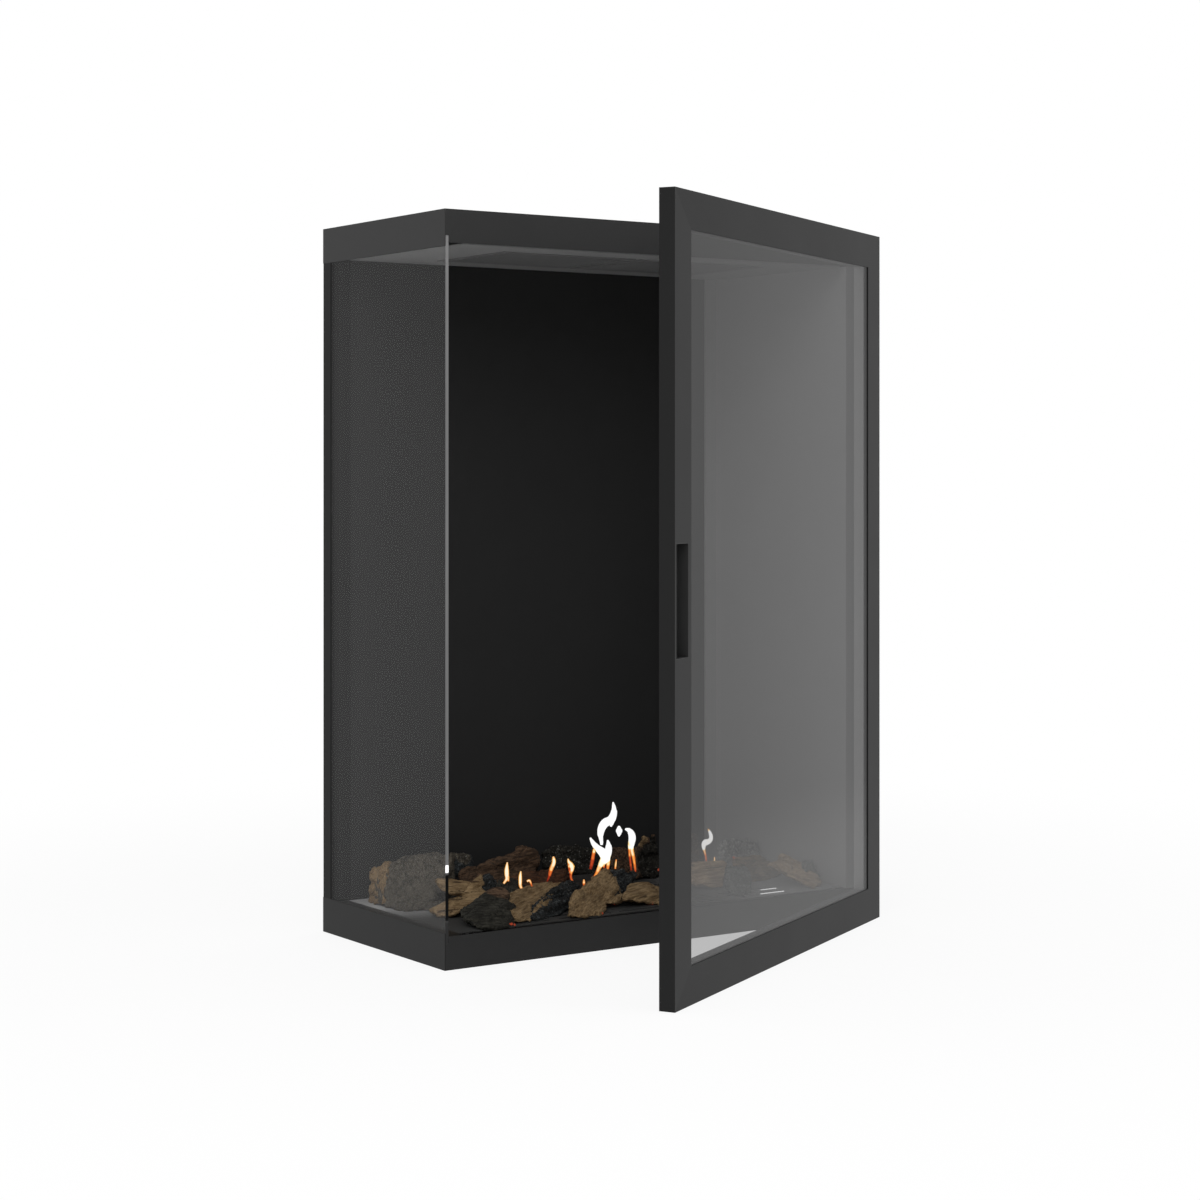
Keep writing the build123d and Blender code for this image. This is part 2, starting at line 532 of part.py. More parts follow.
with BuildPart() as flue_collar_outer:
    with BuildSketch(Plane.XY.offset(FLUE_BOTTOM_Z)):
        Circle(FLUE_OUTER_RADIUS)
        Circle(FLUE_OUTER_RADIUS - FLUE_WALL, mode=Mode.SUBTRACT)
    extrude(amount=FLUE_TOP_Z - FLUE_BOTTOM_Z)
    with BuildSketch(Plane.XY.offset(BODY_HEIGHT)):
        Circle(FLUE_FLANGE_RADIUS)
        Circle(FLUE_OUTER_RADIUS - FLUE_WALL / 2, mode=Mode.SUBTRACT)
        with PolarLocations(FLUE_SCREW_RADIUS, FLUE_SCREWS):
            Circle(SCREW_RADIUS + SCREW_CLEARANCE, mode=Mode.SUBTRACT)
    extrude(amount=PANEL)
    for angle in (30, 150, 270):
        spoke_x = (FLUE_INNER_RADIUS + FLUE_WALL / 2 + FLUE_OUTER_RADIUS) / 2
        with PolarLocations(spoke_x, 1, start_angle=angle):
            with Locations((0, 0, FLUE_BOTTOM_Z + 8)):
                Box(FLUE_OUTER_RADIUS - FLUE_INNER_RADIUS - FLUE_WALL / 2, 12, 1.5, mode=Mode.SUBTRACT)
save(flue_collar_outer.part, "flue_collar_outer")

# Magnets behind the front bands, near the free edge of the door
MAGNET_X = (34.0, 78.0)
MAGNET_TOP_Z = BODY_HEIGHT - MAGNET_INSET - MAGNET_HEIGHT
MAGNET_BOTTOM_Z = MAGNET_INSET
with BuildPart() as magnet_catches:
    for z in (MAGNET_BOTTOM_Z, MAGNET_TOP_Z):
        block(*MAGNET_X, SKIN, SKIN + 10, z, z + MAGNET_HEIGHT)
save(magnet_catches.part, "magnet_catches")

# Hinge brackets: a plate on the front flange, an arm round the pivot, and a fixed upright pin
with BuildPart() as hinge_brackets:
    for height in HINGE_HEIGHTS:
        half = HINGE_PLATE_HEIGHT / 2
        plate_x = (RIGHT_FLANGE_X + 2, BODY_WIDTH)
        block(*plate_x, -HINGE_PLATE_THICKNESS, 0, height - half, height + half)
        low = height - ARM_HEIGHT / 2
        arm_x = (PIVOT_X - ARM_WIDTH / 2, PIVOT_X + ARM_WIDTH / 2)
        block(*arm_x, PIVOT_Y, -HINGE_PLATE_THICKNESS, low, low + ARM_HEIGHT)
        with Locations((*PIVOT, height)):
            Cylinder(ARM_WIDTH / 2, ARM_HEIGHT)
            Cylinder(PIN_RADIUS, ARM_HEIGHT, mode=Mode.SUBTRACT)
        for side in (-HINGE_SCREW_OFFSET, HINGE_SCREW_OFFSET):
            face = Plane(origin=(*place(HINGE_SCREW_X, -HINGE_PLATE_THICKNESS), height + side), z_dir=(0, -1, 0))
            with BuildSketch(face):
                Circle(SCREW_RADIUS + SCREW_CLEARANCE)
            extrude(amount=-5, mode=Mode.SUBTRACT)
            with BuildSketch(face):
                Circle(2.8)
            extrude(amount=-1.5, mode=Mode.SUBTRACT)
save(hinge_brackets.part, "hinge_brackets")

with BuildPart() as hinge_pins:
    for height in HINGE_HEIGHTS:
        with Locations((*PIVOT, height)):
            Cylinder(PIN_RADIUS, 2 * PIN_REACH)
save(hinge_pins.part, "hinge_pins")

# Screws: flush heads in the hinge plates, pan heads on the flue collar's flange
with BuildPart() as casing_screws:
    for height in HINGE_HEIGHTS:
        for side in (-HINGE_SCREW_OFFSET, HINGE_SCREW_OFFSET):
            head = Plane(origin=(*place(HINGE_SCREW_X, -1.0), height + side), z_dir=(0, -1, 0))
            with BuildSketch(head):
                Circle(2.7)
            extrude(amount=1.4)
            with BuildSketch(head):
                Circle(SCREW_RADIUS)
            extrude(amount=-6)
            with BuildSketch(head.offset(-1.0 - SKIN)):
                RegularPolygon(3.2, 6)
            extrude(amount=-2.4)
    with PolarLocations(FLUE_SCREW_RADIUS, FLUE_SCREWS):
        with Locations((0, 0, BODY_HEIGHT + PANEL + 1)):
            Cylinder(3.2, 2)
        with Locations((0, 0, BODY_HEIGHT + PANEL - 4)):
            Cylinder(SCREW_RADIUS, 8)
save(casing_screws.part, "casing_screws")


# Fire logs: irregular chunks, each from a foot outline to a smaller, sloping crown
def log_plane(foot, height, slope_x, slope_y):
    """A sloping plane whose height over the floor at the middle of the foot is given."""
    middle_x = sum(point[0] for point in foot) / len(foot)
    middle_y = sum(point[1] for point in foot) / len(foot)
    origin = (*place(middle_x, middle_y), FLOOR_Z + height)
    return Plane(origin=origin, x_dir=(1, 0, slope_x), z_dir=(-slope_x, -slope_y, 1))


def log_ring(foot, scale, height, slope_x, slope_y):
    """Draw the foot outline, scaled about its middle, on a sloping plane."""
    plane = log_plane(foot, height, slope_x, slope_y)
    middle_x = sum(point[0] for point in foot) / len(foot)
    middle_y = sum(point[1] for point in foot) / len(foot)
    corners = []
    for x, y in foot:
        across = (x - middle_x) * scale
        along = (y - middle_y) * scale
        rise = slope_x * across + slope_y * along
        local = plane.to_local_coords(plane.origin + Vector(across, along, rise))
        corners.append((local.X, local.Y))
    with BuildSketch(plane) as ring:
        with BuildLine():
            Polyline(*corners, close=True)
        make_face()
    return ring.sketch


def log_solid(drawn_foot, crown, top, underside=(0.0, 0.0, 0.0)):
    """Loft one log from its underside, through its middle, to its crown."""
    foot = [on_bed(*point) for point in drawn_foot]
    middle = [(top[index] + underside[index]) / 2 for index in range(3)]
    rings = [
        log_ring(foot, 1.0, *underside),
        log_ring(foot, (1.0 + crown) / 2 + 0.02, *middle),
        log_ring(foot, crown, *top),
    ]
    loft([ring.face() for ring in rings], ruled=True)


LOGS = {
    "log_left_split": (
        [(52, 306), (50, 262), (66, 196), (86, 185), (140, 190), (160, 215), (160, 250), (120, 300), (80, 318)],
        0.95,
        (63, 0.12, -0.13),
    ),
    "log_corner_tan": (
        [(74, 170), (78, 143), (128, 112), (156, 140), (142, 164), (104, 176)],
        0.94,
        (49, 0.05, 0.1),
    ),
    "log_front_charred": (
        [(90, 102), (75, 60), (76, 28), (97, 4), (126, 20), (144, 60), (130, 106)],
        0.86,
        (46, 0.02, 0.1),
    ),
    "log_back_bark": (
        [(166, 196), (300, 226), (332, 262), (322, 292), (262, 292), (206, 262)],
        0.8,
        (57, 0.2, 0.0),
    ),
    "log_middle_long": (
        [(196, 152), (322, 172), (356, 196), (352, 226), (308, 222), (190, 188)],
        0.85,
        (39, -0.02, 0.05),
    ),
    "log_front_tan": (
        [(148, 84), (160, 38), (166, 30), (194, 32), (240, 62), (300, 140), (262, 144), (190, 114)],
        0.95,
        (28, -0.03, 0.03),
    ),
    "log_centre_split": (
        [(246, 38), (262, 14), (330, 46), (392, 118), (350, 134), (282, 98)],
        0.94,
        (25, 0.07, 0.28),
    ),
    "log_back_charred": (
        [(342, 268), (430, 266), (440, 300), (352, 306)],
        0.85,
        (54, 0.02, 0.0),
    ),
    "log_right_tan": (
        [(400, 138), (384, 52), (385, 26), (430, 20), (452, 60), (448, 130)],
        0.85,
        (20, 0.0, 0.02),
    ),
    "log_right_bark": (
        [(452, 244), (560, 236), (566, 280), (462, 300)],
        0.86,
        (44, -0.03, 0.0),
    ),
    "log_behind_door": (
        [(498, 128), (548, 96), (578, 122), (560, 162), (516, 170)],
        0.92,
        (39, 0.02, 0.0),
    ),
    "log_leaning": (
        [(664, 108), (652, 82), (682, 24), (704, 22), (714, 44), (694, 112)],
        0.85,
        (32, 0.0, 0.37),
        (19, 0.0, 0.44),
    ),
}
for log_name, shape in LOGS.items():
    with BuildPart() as fire_log:
        log_solid(*shape)
    save(fire_log.part, log_name)

# Smaller offcuts between the logs
OFFCUTS = (
    ([(163, 224), (180, 226), (192, 250), (190, 268), (163, 268)], 0.85, (59, 0.0, 0.0)),
    ([(602, 246), (622, 246), (622, 270), (602, 270)], 0.85, (62, 0.0, 0.0)),
    ([(546, 60), (548, 26), (568, 18), (588, 46), (582, 84), (562, 92)], 0.88, (35, 0.0, 0.0)),
    ([(664, 222), (714, 216), (716, 262), (672, 270)], 0.8, (39, 0.0, 0.0)),
    ([(628, 150), (704, 142), (708, 196), (636, 204)], 0.85, (33, 0.0, 0.0)),
)
with BuildPart() as log_offcuts:
    for shape in OFFCUTS:
        log_solid(*shape)
save(log_offcuts.part, "log_offcuts")


# Door frame: four mitred hollow members round the glass, modelled in its open position
def member_outline(side, outer, inner):
    """The mitred outline of one frame member between two distances from the door's edge."""
    left, right = -PIVOT_X, DOOR_WIDTH - PIVOT_X
    low, high = DOOR_BOTTOM_Z, DOOR_TOP_Z
    corner = {
        "free": ((left, low), (left, high), 1, 0),
        "hinge": ((right, low), (right, high), -1, 0),
        "bottom": ((left, low), (right, low), 0, 1),
        "top": ((left, high), (right, high), 0, -1),
    }[side]
    (x0, z0), (x1, z1), into_x, into_z = corner
    points = []
    for inset, order in ((outer, (0, 1)), (inner, (1, 0))):
        for end in order:
            x, z = ((x0, z0), (x1, z1))[end]
            x += into_x * inset if into_x else (inset if end == 0 else -inset)
            z += into_z * inset if into_z else (inset if end == 0 else -inset)
            points.append((x, z))
    return points


def member_layer(side, outer, inner, front, back, mode=Mode.ADD):
    """One mitred layer of a frame member between two depths."""
    with BuildSketch(door_face(back)) as layer:
        with BuildLine():
            Polyline(*member_outline(side, outer, inner), close=True)
        make_face()
    extrude(layer.sketch, amount=back - front, mode=mode)


def frame_member(side):
    """A hollow frame member with a front lip that covers the edge of the glass."""
    member_layer(side, 0, DOOR_STILE, DOOR_OUTER_Y, DOOR_OUTER_Y + DOOR_LIP)
    member_layer(side, 0, DOOR_TUBE, DOOR_OUTER_Y + DOOR_LIP, DOOR_INNER_Y)
    hollow = (DOOR_OUTER_Y + DOOR_WALL, DOOR_INNER_Y - DOOR_WALL)
    member_layer(side, DOOR_WALL, DOOR_TUBE - DOOR_WALL, *hollow, mode=Mode.SUBTRACT)


KEEPER_X = (MAGNET_X[0], MAGNET_X[1])
BEAD_SCREW_PITCH = 230.0
BEAD_SCREW_INSET = DOOR_TUBE - 4.5


def bead_screw_spots():
    """Where the glazing bead's screws go, as distances across and up the door."""
    spots = []
    for step in range(4):
        z = MIDDLE_Z + (step - 1.5) * BEAD_SCREW_PITCH
        spots.append((BEAD_SCREW_INSET, z))
        spots.append((DOOR_WIDTH - BEAD_SCREW_INSET, z))
    for step in range(3):
        x = DOOR_WIDTH / 2 + (step - 1) * 200.0
        spots.append((x, DOOR_BOTTOM_Z + BEAD_SCREW_INSET))
        spots.append((x, DOOR_TOP_Z - BEAD_SCREW_INSET))
    return spots


def drill_bead_screws():
    """Drill the bead screws' clearance holes through whatever lies there."""
    with BuildSketch(door_face(DOOR_INNER_Y + 3)) as holes:
        for x, z in bead_screw_spots():
            with Locations((x - PIVOT_X, z)):
                Circle(SCREW_RADIUS + SCREW_CLEARANCE)
    extrude(holes.sketch, amount=5, mode=Mode.SUBTRACT)


CUP_OUTER = (PULL_LEFT - PULL_WALL, PULL_RIGHT + PULL_WALL)
CUP_BACK_Y = DOOR_OUTER_Y + PULL_DEPTH + PULL_WALL
CUP_Z = (PULL_BOTTOM_Z - PULL_WALL, PULL_TOP_Z + PULL_WALL)

with BuildPart(DOOR_PLANE) as door_stile_free:
    frame_member("free")
    door_block(*CUP_OUTER, DOOR_OUTER_Y - 1, CUP_BACK_Y, *CUP_Z, mode=Mode.SUBTRACT)
    drill_bead_screws()
save(door_stile_free.part, "door_stile_free")

with BuildPart(DOOR_PLANE) as door_stile_hinge:
    frame_member("hinge")
    for height in HINGE_HEIGHTS:
        pocket_z = (height - POCKET_HALF_HEIGHT, height + POCKET_HALF_HEIGHT)
        pocket_x = (DOOR_WIDTH - POCKET_DEPTH, DOOR_WIDTH + 1)
        door_block(*pocket_x, PIVOT_Y - POCKET_BEYOND_PIVOT, DOOR_INNER_Y + 1, *pocket_z, mode=Mode.SUBTRACT)
    drill_bead_screws()
save(door_stile_hinge.part, "door_stile_hinge")

with BuildPart(DOOR_PLANE) as door_rail_bottom:
    frame_member("bottom")
    drill_bead_screws()
save(door_rail_bottom.part, "door_rail_bottom")

with BuildPart(DOOR_PLANE) as door_rail_top:
    frame_member("top")
    drill_bead_screws()
save(door_rail_top.part, "door_rail_top")

with BuildPart(DOOR_PLANE) as pull_cup:
    door_block(*CUP_OUTER, DOOR_OUTER_Y, CUP_BACK_Y, *CUP_Z)
    cup_inside = (PULL_LEFT, PULL_RIGHT, DOOR_OUTER_Y - 1, DOOR_OUTER_Y + PULL_DEPTH)
    door_block(*cup_inside, PULL_BOTTOM_Z, PULL_TOP_Z, mode=Mode.SUBTRACT)
save(pull_cup.part, "pull_cup")

GLASS_X = (GLASS_EDGE, DOOR_WIDTH - GLASS_EDGE)
GLASS_Z = (DOOR_BOTTOM_Z + GLASS_EDGE, DOOR_TOP_Z - GLASS_EDGE)
with BuildPart(DOOR_PLANE) as door_glass:
    door_block(*GLASS_X, GLASS_OUTER_Y, GLASS_INNER_Y, *GLASS_Z)
save(door_glass.part, "door_glass")

with BuildPart(DOOR_PLANE) as door_glass_tape:
    for side in ("free", "hinge", "bottom", "top"):
        member_layer(side, GLASS_EDGE, DOOR_STILE - 0.5, DOOR_OUTER_Y + DOOR_LIP, GLASS_OUTER_Y)
save(door_glass_tape.part, "door_glass_tape")

# Glazing beads behind the glass, each with a flange screwed to the inside of the frame
BEAD_FLANGE = DOOR_TUBE - 9.0
BEAD_INNER = DOOR_STILE - 1.0
BEAD_JOINT = 0.2


def bead_pair(inset, back_y, between):
    """Two upright and two level strips, from an inset to the bead's inner edge."""
    depth = (back_y, DOOR_INNER_Y + SKIN)
    upright_z = (DOOR_BOTTOM_Z + inset, DOOR_TOP_Z - inset)
    door_block(inset, BEAD_INNER, *depth, *upright_z)
    door_block(DOOR_WIDTH - BEAD_INNER, DOOR_WIDTH - inset, *depth, *upright_z)
    level_x = (between, DOOR_WIDTH - between)
    door_block(*level_x, *depth, DOOR_BOTTOM_Z + inset, DOOR_BOTTOM_Z + BEAD_INNER)
    door_block(*level_x, *depth, DOOR_TOP_Z - BEAD_INNER, DOOR_TOP_Z - inset)


with BuildPart(DOOR_PLANE) as door_glass_beads:
    bead_pair(DOOR_TUBE, GLASS_INNER_Y, BEAD_INNER + BEAD_JOINT)
    bead_pair(BEAD_FLANGE, DOOR_INNER_Y, BEAD_INNER + BEAD_JOINT)
    drill_bead_screws()
save(door_glass_beads.part, "door_glass_beads")

with BuildPart(DOOR_PLANE) as door_bead_screws:
    with BuildSketch(door_face(DOOR_INNER_Y + SKIN)) as shanks:
        for x, z in bead_screw_spots():
            with Locations((x - PIVOT_X, z)):
                Circle(SCREW_RADIUS)
    extrude(shanks.sketch, amount=4.5)
    with BuildSketch(door_face(DOOR_INNER_Y + SKIN)) as heads:
        for x, z in bead_screw_spots():
            with Locations((x - PIVOT_X, z)):
                Circle(2.8)
    extrude(heads.sketch, amount=-1.4)
save(door_bead_screws.part, "door_bead_screws")

# Seal strip round the inner face
SEAL_FREE_INSET = 10.0
SEAL_HINGE_INSET = 26.0
SEAL_END_INSET = 19.5
SEAL_JOINT = 0.2
SEAL_LEFT_X = SEAL_FREE_INSET
SEAL_RIGHT_X = DOOR_WIDTH - SEAL_HINGE_INSET - SEAL_WIDTH
SEAL_LOW_Z = DOOR_BOTTOM_Z + SEAL_END_INSET
SEAL_HIGH_Z = DOOR_TOP_Z - SEAL_END_INSET - SEAL_WIDTH
with BuildPart(DOOR_PLANE) as door_seal:
    seal_y = (DOOR_INNER_Y, DOOR_INNER_Y + SEAL_PROUD)
    for z in (SEAL_LOW_Z, SEAL_HIGH_Z):
        door_block(SEAL_LEFT_X, SEAL_RIGHT_X + SEAL_WIDTH, *seal_y, z, z + SEAL_WIDTH)
    for x in (SEAL_LEFT_X, SEAL_RIGHT_X):
        upright_z = (SEAL_LOW_Z + SEAL_WIDTH + SEAL_JOINT, SEAL_HIGH_Z - SEAL_JOINT)
        door_block(x, x + SEAL_WIDTH, *seal_y, *upright_z)
    fillet(door_seal.edges().filter_by(Axis.Z), 1.2)
save(door_seal.part, "door_seal")

# Bush blocks inside the hinge stile, above and below each pocket
with BuildPart(DOOR_PLANE) as hinge_bushes:
    bush_x = (DOOR_WIDTH - DOOR_WALL - BUSH_LENGTH, DOOR_WIDTH - DOOR_WALL)
    bush_y = (PIVOT_Y - 6, DOOR_INNER_Y - DOOR_WALL)
    for height in HINGE_HEIGHTS:
        for low in (height - POCKET_HALF_HEIGHT - BUSH_HEIGHT, height + POCKET_HALF_HEIGHT):
            door_block(*bush_x, *bush_y, low, low + BUSH_HEIGHT)
            with Locations((0, 0, low + BUSH_HEIGHT / 2)):
                Cylinder(PIN_RADIUS + PIN_CLEARANCE, BUSH_HEIGHT, mode=Mode.SUBTRACT)
save(hinge_bushes.part, "hinge_bushes")

with BuildPart(DOOR_PLANE) as magnet_keepers:
    for z in (MAGNET_BOTTOM_Z, MAGNET_TOP_Z):
        door_block(*KEEPER_X, DOOR_INNER_Y, DOOR_INNER_Y + 2, z, z + MAGNET_HEIGHT)
save(magnet_keepers.part, "magnet_keepers")
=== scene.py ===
"""The looks of a tall corner fireplace: charcoal casing, two panes of glass, fire logs and flames.

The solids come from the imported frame. Places in millimetres are measured as a fitter would: x from
the casing's left face, y from its front face and z up from the floor.
"""

import logging
import math
import random
from dataclasses import dataclass
from enum import Enum
from typing import Any, Optional, Sequence, Union

import bmesh
import bpy
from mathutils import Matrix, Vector

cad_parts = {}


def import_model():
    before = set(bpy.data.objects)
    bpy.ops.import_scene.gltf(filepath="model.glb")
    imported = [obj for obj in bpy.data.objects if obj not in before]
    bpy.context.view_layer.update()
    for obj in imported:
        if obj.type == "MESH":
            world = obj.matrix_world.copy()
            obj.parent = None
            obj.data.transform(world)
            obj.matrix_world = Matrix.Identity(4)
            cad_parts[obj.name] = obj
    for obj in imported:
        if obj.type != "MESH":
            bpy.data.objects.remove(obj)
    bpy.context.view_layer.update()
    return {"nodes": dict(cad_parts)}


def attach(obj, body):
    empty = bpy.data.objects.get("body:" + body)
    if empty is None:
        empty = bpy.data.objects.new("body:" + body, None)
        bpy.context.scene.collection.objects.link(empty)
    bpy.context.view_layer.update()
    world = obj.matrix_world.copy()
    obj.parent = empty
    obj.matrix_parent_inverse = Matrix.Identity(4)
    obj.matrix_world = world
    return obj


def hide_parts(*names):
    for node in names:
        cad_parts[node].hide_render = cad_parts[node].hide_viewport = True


log = logging.getLogger("corner_fireplace")

MM = 0.001
CASING_WIDTH = 765.0
CASING_DEPTH = 360.0
HEARTH_Z = 47.5
RIGHT_LINER_X = 723.0
REAR_LINER_Y = 318.0
RIGHT_LINER_GAP = 4.0
REAR_LINER_GAP = 6.0
WELD = 1e-6

Point = tuple[float, float, float]
Span = tuple[float, float]
Colour = tuple[float, float, float]
Settings = dict[Any, Any]


class Body(Enum):
    """The body that every piece of the scene rides on."""

    CASING = "casing"


def in_casing(x: float, y: float, z: float) -> Vector:
    """Give the frame's point, in metres, for a place measured on the casing in millimetres."""
    return Vector(((x - CASING_WIDTH / 2) * MM, (y - CASING_DEPTH / 2) * MM, z * MM))


def grey(level: float) -> Colour:
    """Give a neutral grey."""
    return (level, level, level)


WHITE = grey(1.0)
BLACK = grey(0.0)


def opaque(colour: Colour) -> tuple[float, float, float, float]:
    """Give a colour with full cover, as a node's socket takes it."""
    return (*colour, 1.0)


@dataclass(frozen=True)
class Noise:
    """Soft noise: its waves a metre, its octaves and how rough they are."""

    scale: float
    detail: float = 2.0
    roughness: float = 0.5


@dataclass(frozen=True)
class Grain:
    """Noise drawn out one way: its waves a metre along, across and up, its octaves and roughness."""

    stretch: Point
    detail: float = 2.0
    roughness: float = 0.5


class Wire:
    """A node socket that can be used in plain arithmetic."""

    def __init__(self, bench: "Bench", socket: bpy.types.NodeSocket) -> None:
        """Keep the socket and the bench that its node stands on.

        Args:
            bench: The tree that new nodes are added to.
            socket: An output socket of that tree.
        """
        self.bench = bench
        self.socket = socket

    def _maths(self, operation: str, *values: Any) -> "Wire":
        """Add one Math node and give its result."""
        inputs = dict(enumerate(values))
        return self.bench.add("ShaderNodeMath", {"operation": operation}, inputs)

    def __add__(self, other: Any) -> "Wire":
        """Add."""
        return self._maths("ADD", self, other)

    __radd__ = __add__

    def __sub__(self, other: Any) -> "Wire":
        """Take a value from this one."""
        return self._maths("SUBTRACT", self, other)

    def __rsub__(self, other: Any) -> "Wire":
        """Take this one from a value."""
        return self._maths("SUBTRACT", other, self)

    def __mul__(self, other: Any) -> "Wire":
        """Multiply."""
        return self._maths("MULTIPLY", self, other)

    __rmul__ = __mul__

    def __truediv__(self, other: Any) -> "Wire":
        """Divide by a value."""
        return self._maths("DIVIDE", self, other)

    def __rtruediv__(self, other: Any) -> "Wire":
        """Divide a value by this one."""
        return self._maths("DIVIDE", other, self)

    def __pow__(self, other: Any) -> "Wire":
        """Raise to a power."""
        return self._maths("POWER", self, other)

    def above(self, other: Any) -> "Wire":
        """Give the larger of two values."""
        return self._maths("MAXIMUM", self, other)

    def below(self, other: Any) -> "Wire":
        """Give the smaller of two values."""
        return self._maths("MINIMUM", self, other)

    def between(self, low: float, high: float) -> "Wire":
        """Stretch a value that runs from 0 to 1 over another range."""
        return low + (high - low) * self

    def ramp(self, low: float, high: float) -> "Wire":
        """Rise smoothly from 0 at one value to 1 at another.

        Args:
            low: The value at which the result is 0.
            high: The value at which the result is 1. It may be the smaller one.

        Returns:
            The smoothed result.
        """
        if high < low:
            return 1 - self.ramp(high, low)
        inputs = {"Value": self, "From Min": low, "From Max": high}
        return self.bench.add("ShaderNodeMapRange", {"interpolation_type": "SMOOTHSTEP"}, inputs)


Given = Union[Wire, float, Sequence[float], None]


class Bench:
    """A node tree under construction, for a finish, a shape or the room."""

    def __init__(self, tree: bpy.types.NodeTree) -> None:
        """Start on a tree.

        Args:
            tree: The tree that the nodes go in.
        """
        self.tree = tree

    @staticmethod
    def _socket(sockets: Any, key: Union[int, str]) -> bpy.types.NodeSocket:
        """Find a socket by its number, or the one in use by its name."""
        if isinstance(key, int):
            return sockets[key]
        named = [socket for socket in sockets if socket.name == key]
        live = [socket for socket in named if socket.enabled]
        return (live or named)[0]

    def node(
        self, kind: str, settings: Optional[Settings] = None, inputs: Optional[Settings] = None
    ) -> Any:
        """Add any node: its settings go in first, and then its sockets.

        Args:
            kind: The node's type.
            settings: Its properties; "stops" fills a colour ramp.
            inputs: Values or wires for its sockets, by name or number.

        Returns:
            The new node.
        """
        made = self.tree.nodes.new(kind)
        for key, value in (settings or {}).items():
            if key == "stops":
                self._stops(made, value)
            else:
                setattr(made, key, value)
        for key, value in (inputs or {}).items():
            socket = self._socket(made.inputs, key)
            if isinstance(value, Wire):
                self.tree.links.new(value.socket, socket)
            elif value is not None:
                socket.default_value = value
        return made

    @staticmethod
    def _stops(ramp: Any, stops: Sequence[tuple[float, Colour]]) -> None:
        """Fill a colour ramp with its stops."""
        while len(ramp.color_ramp.elements) < len(stops):
            ramp.color_ramp.elements.new(1.0)
        for element, (place, colour) in zip(ramp.color_ramp.elements, stops):
            element.position = place
            element.color = opaque(colour)

    def add(
        self,
        kind: str,
        settings: Optional[Settings] = None,
        inputs: Optional[Settings] = None,
        output: Union[int, str] = 0,
    ) -> Wire:
        """Add a node and give a wire from one of its outputs.

        Args:
            kind: The node's type.
            settings: Its properties.
            inputs: Values or wires for its sockets, by name or number.
            output: The output that the wire starts from, by name or number.

        Returns:
            The wire.
        """
        made = self.node(kind, settings, inputs)
        return Wire(self, self._socket(made.outputs, output))

    def vector(self, operation: str, *values: Any, output: str = "Vector") -> Wire:
        """Add one Vector Math node and give its result."""
        return self.add("ShaderNodeVectorMath", {"operation": operation}, dict(enumerate(values)), output)

    def scaled(self, where: Wire, factor: Given) -> Wire:
        """Give a vector times a number."""
        return self.vector("SCALE", where, None, None, factor)

    def axis(self, where: Wire, number: int) -> Wire:
        """Give one coordinate of a place: 0 for x, 1 for y and 2 for z."""
        return self.add("ShaderNodeSeparateXYZ", {}, {0: where}, number)

    def noise(self, where: Given, kind: Noise) -> Wire:
        """Give soft noise between 0 and 1 at a place."""
        inputs = {"Vector": where, "Scale": kind.scale, "Detail": kind.detail, "Roughness": kind.roughness}
        return self.add("ShaderNodeTexNoise", {}, inputs)

    def drawn(self, where: Wire, kind: Grain) -> Wire:
        """Give noise drawn out along the axes."""
        stretched = self.vector("MULTIPLY", where, kind.stretch)
        return self.noise(stretched, Noise(1.0, kind.detail, kind.roughness))

    def cells(self, where: Given, scale: float, feature: str = "DISTANCE_TO_EDGE") -> Wire:
        """Give the distance to the nearest edge, or centre, of a field of cells."""
        inputs = {"Vector": where, "Scale": scale}
        return self.add("ShaderNodeTexVoronoi", {"feature": feature}, inputs, "Distance")

    def mix(self, factor: Given, one: Union[Wire, Colour], other: Union[Wire, Colour]) -> Wire:
        """Blend from one colour to another."""
        first, second = (c if isinstance(c, Wire) else opaque(c) for c in (one, other))
        settings = {"data_type": "RGBA", "blend_type": "MIX"}
        return self.add("ShaderNodeMix", settings, {0: factor, 6: first, 7: second}, 2)

    def turned(self, where: Wire, heading: Given, stretch: Point) -> Wire:
        """Turn a place about the upright axis and stretch it, so that a grain runs one way."""
        axes = {"Vector": where, "Angle": heading}
        straight = self.add("ShaderNodeVectorRotate", {"rotation_type": "Z_AXIS"}, axes)
        return self.vector("MULTIPLY", straight, stretch)

    def grain(self, where: Wire, heading: Given, kind: Grain) -> Wire:
        """Give noise drawn out along a heading."""
        turned = self.turned(where, heading, kind.stretch)
        return self.noise(turned, Noise(1.0, kind.detail, kind.roughness))


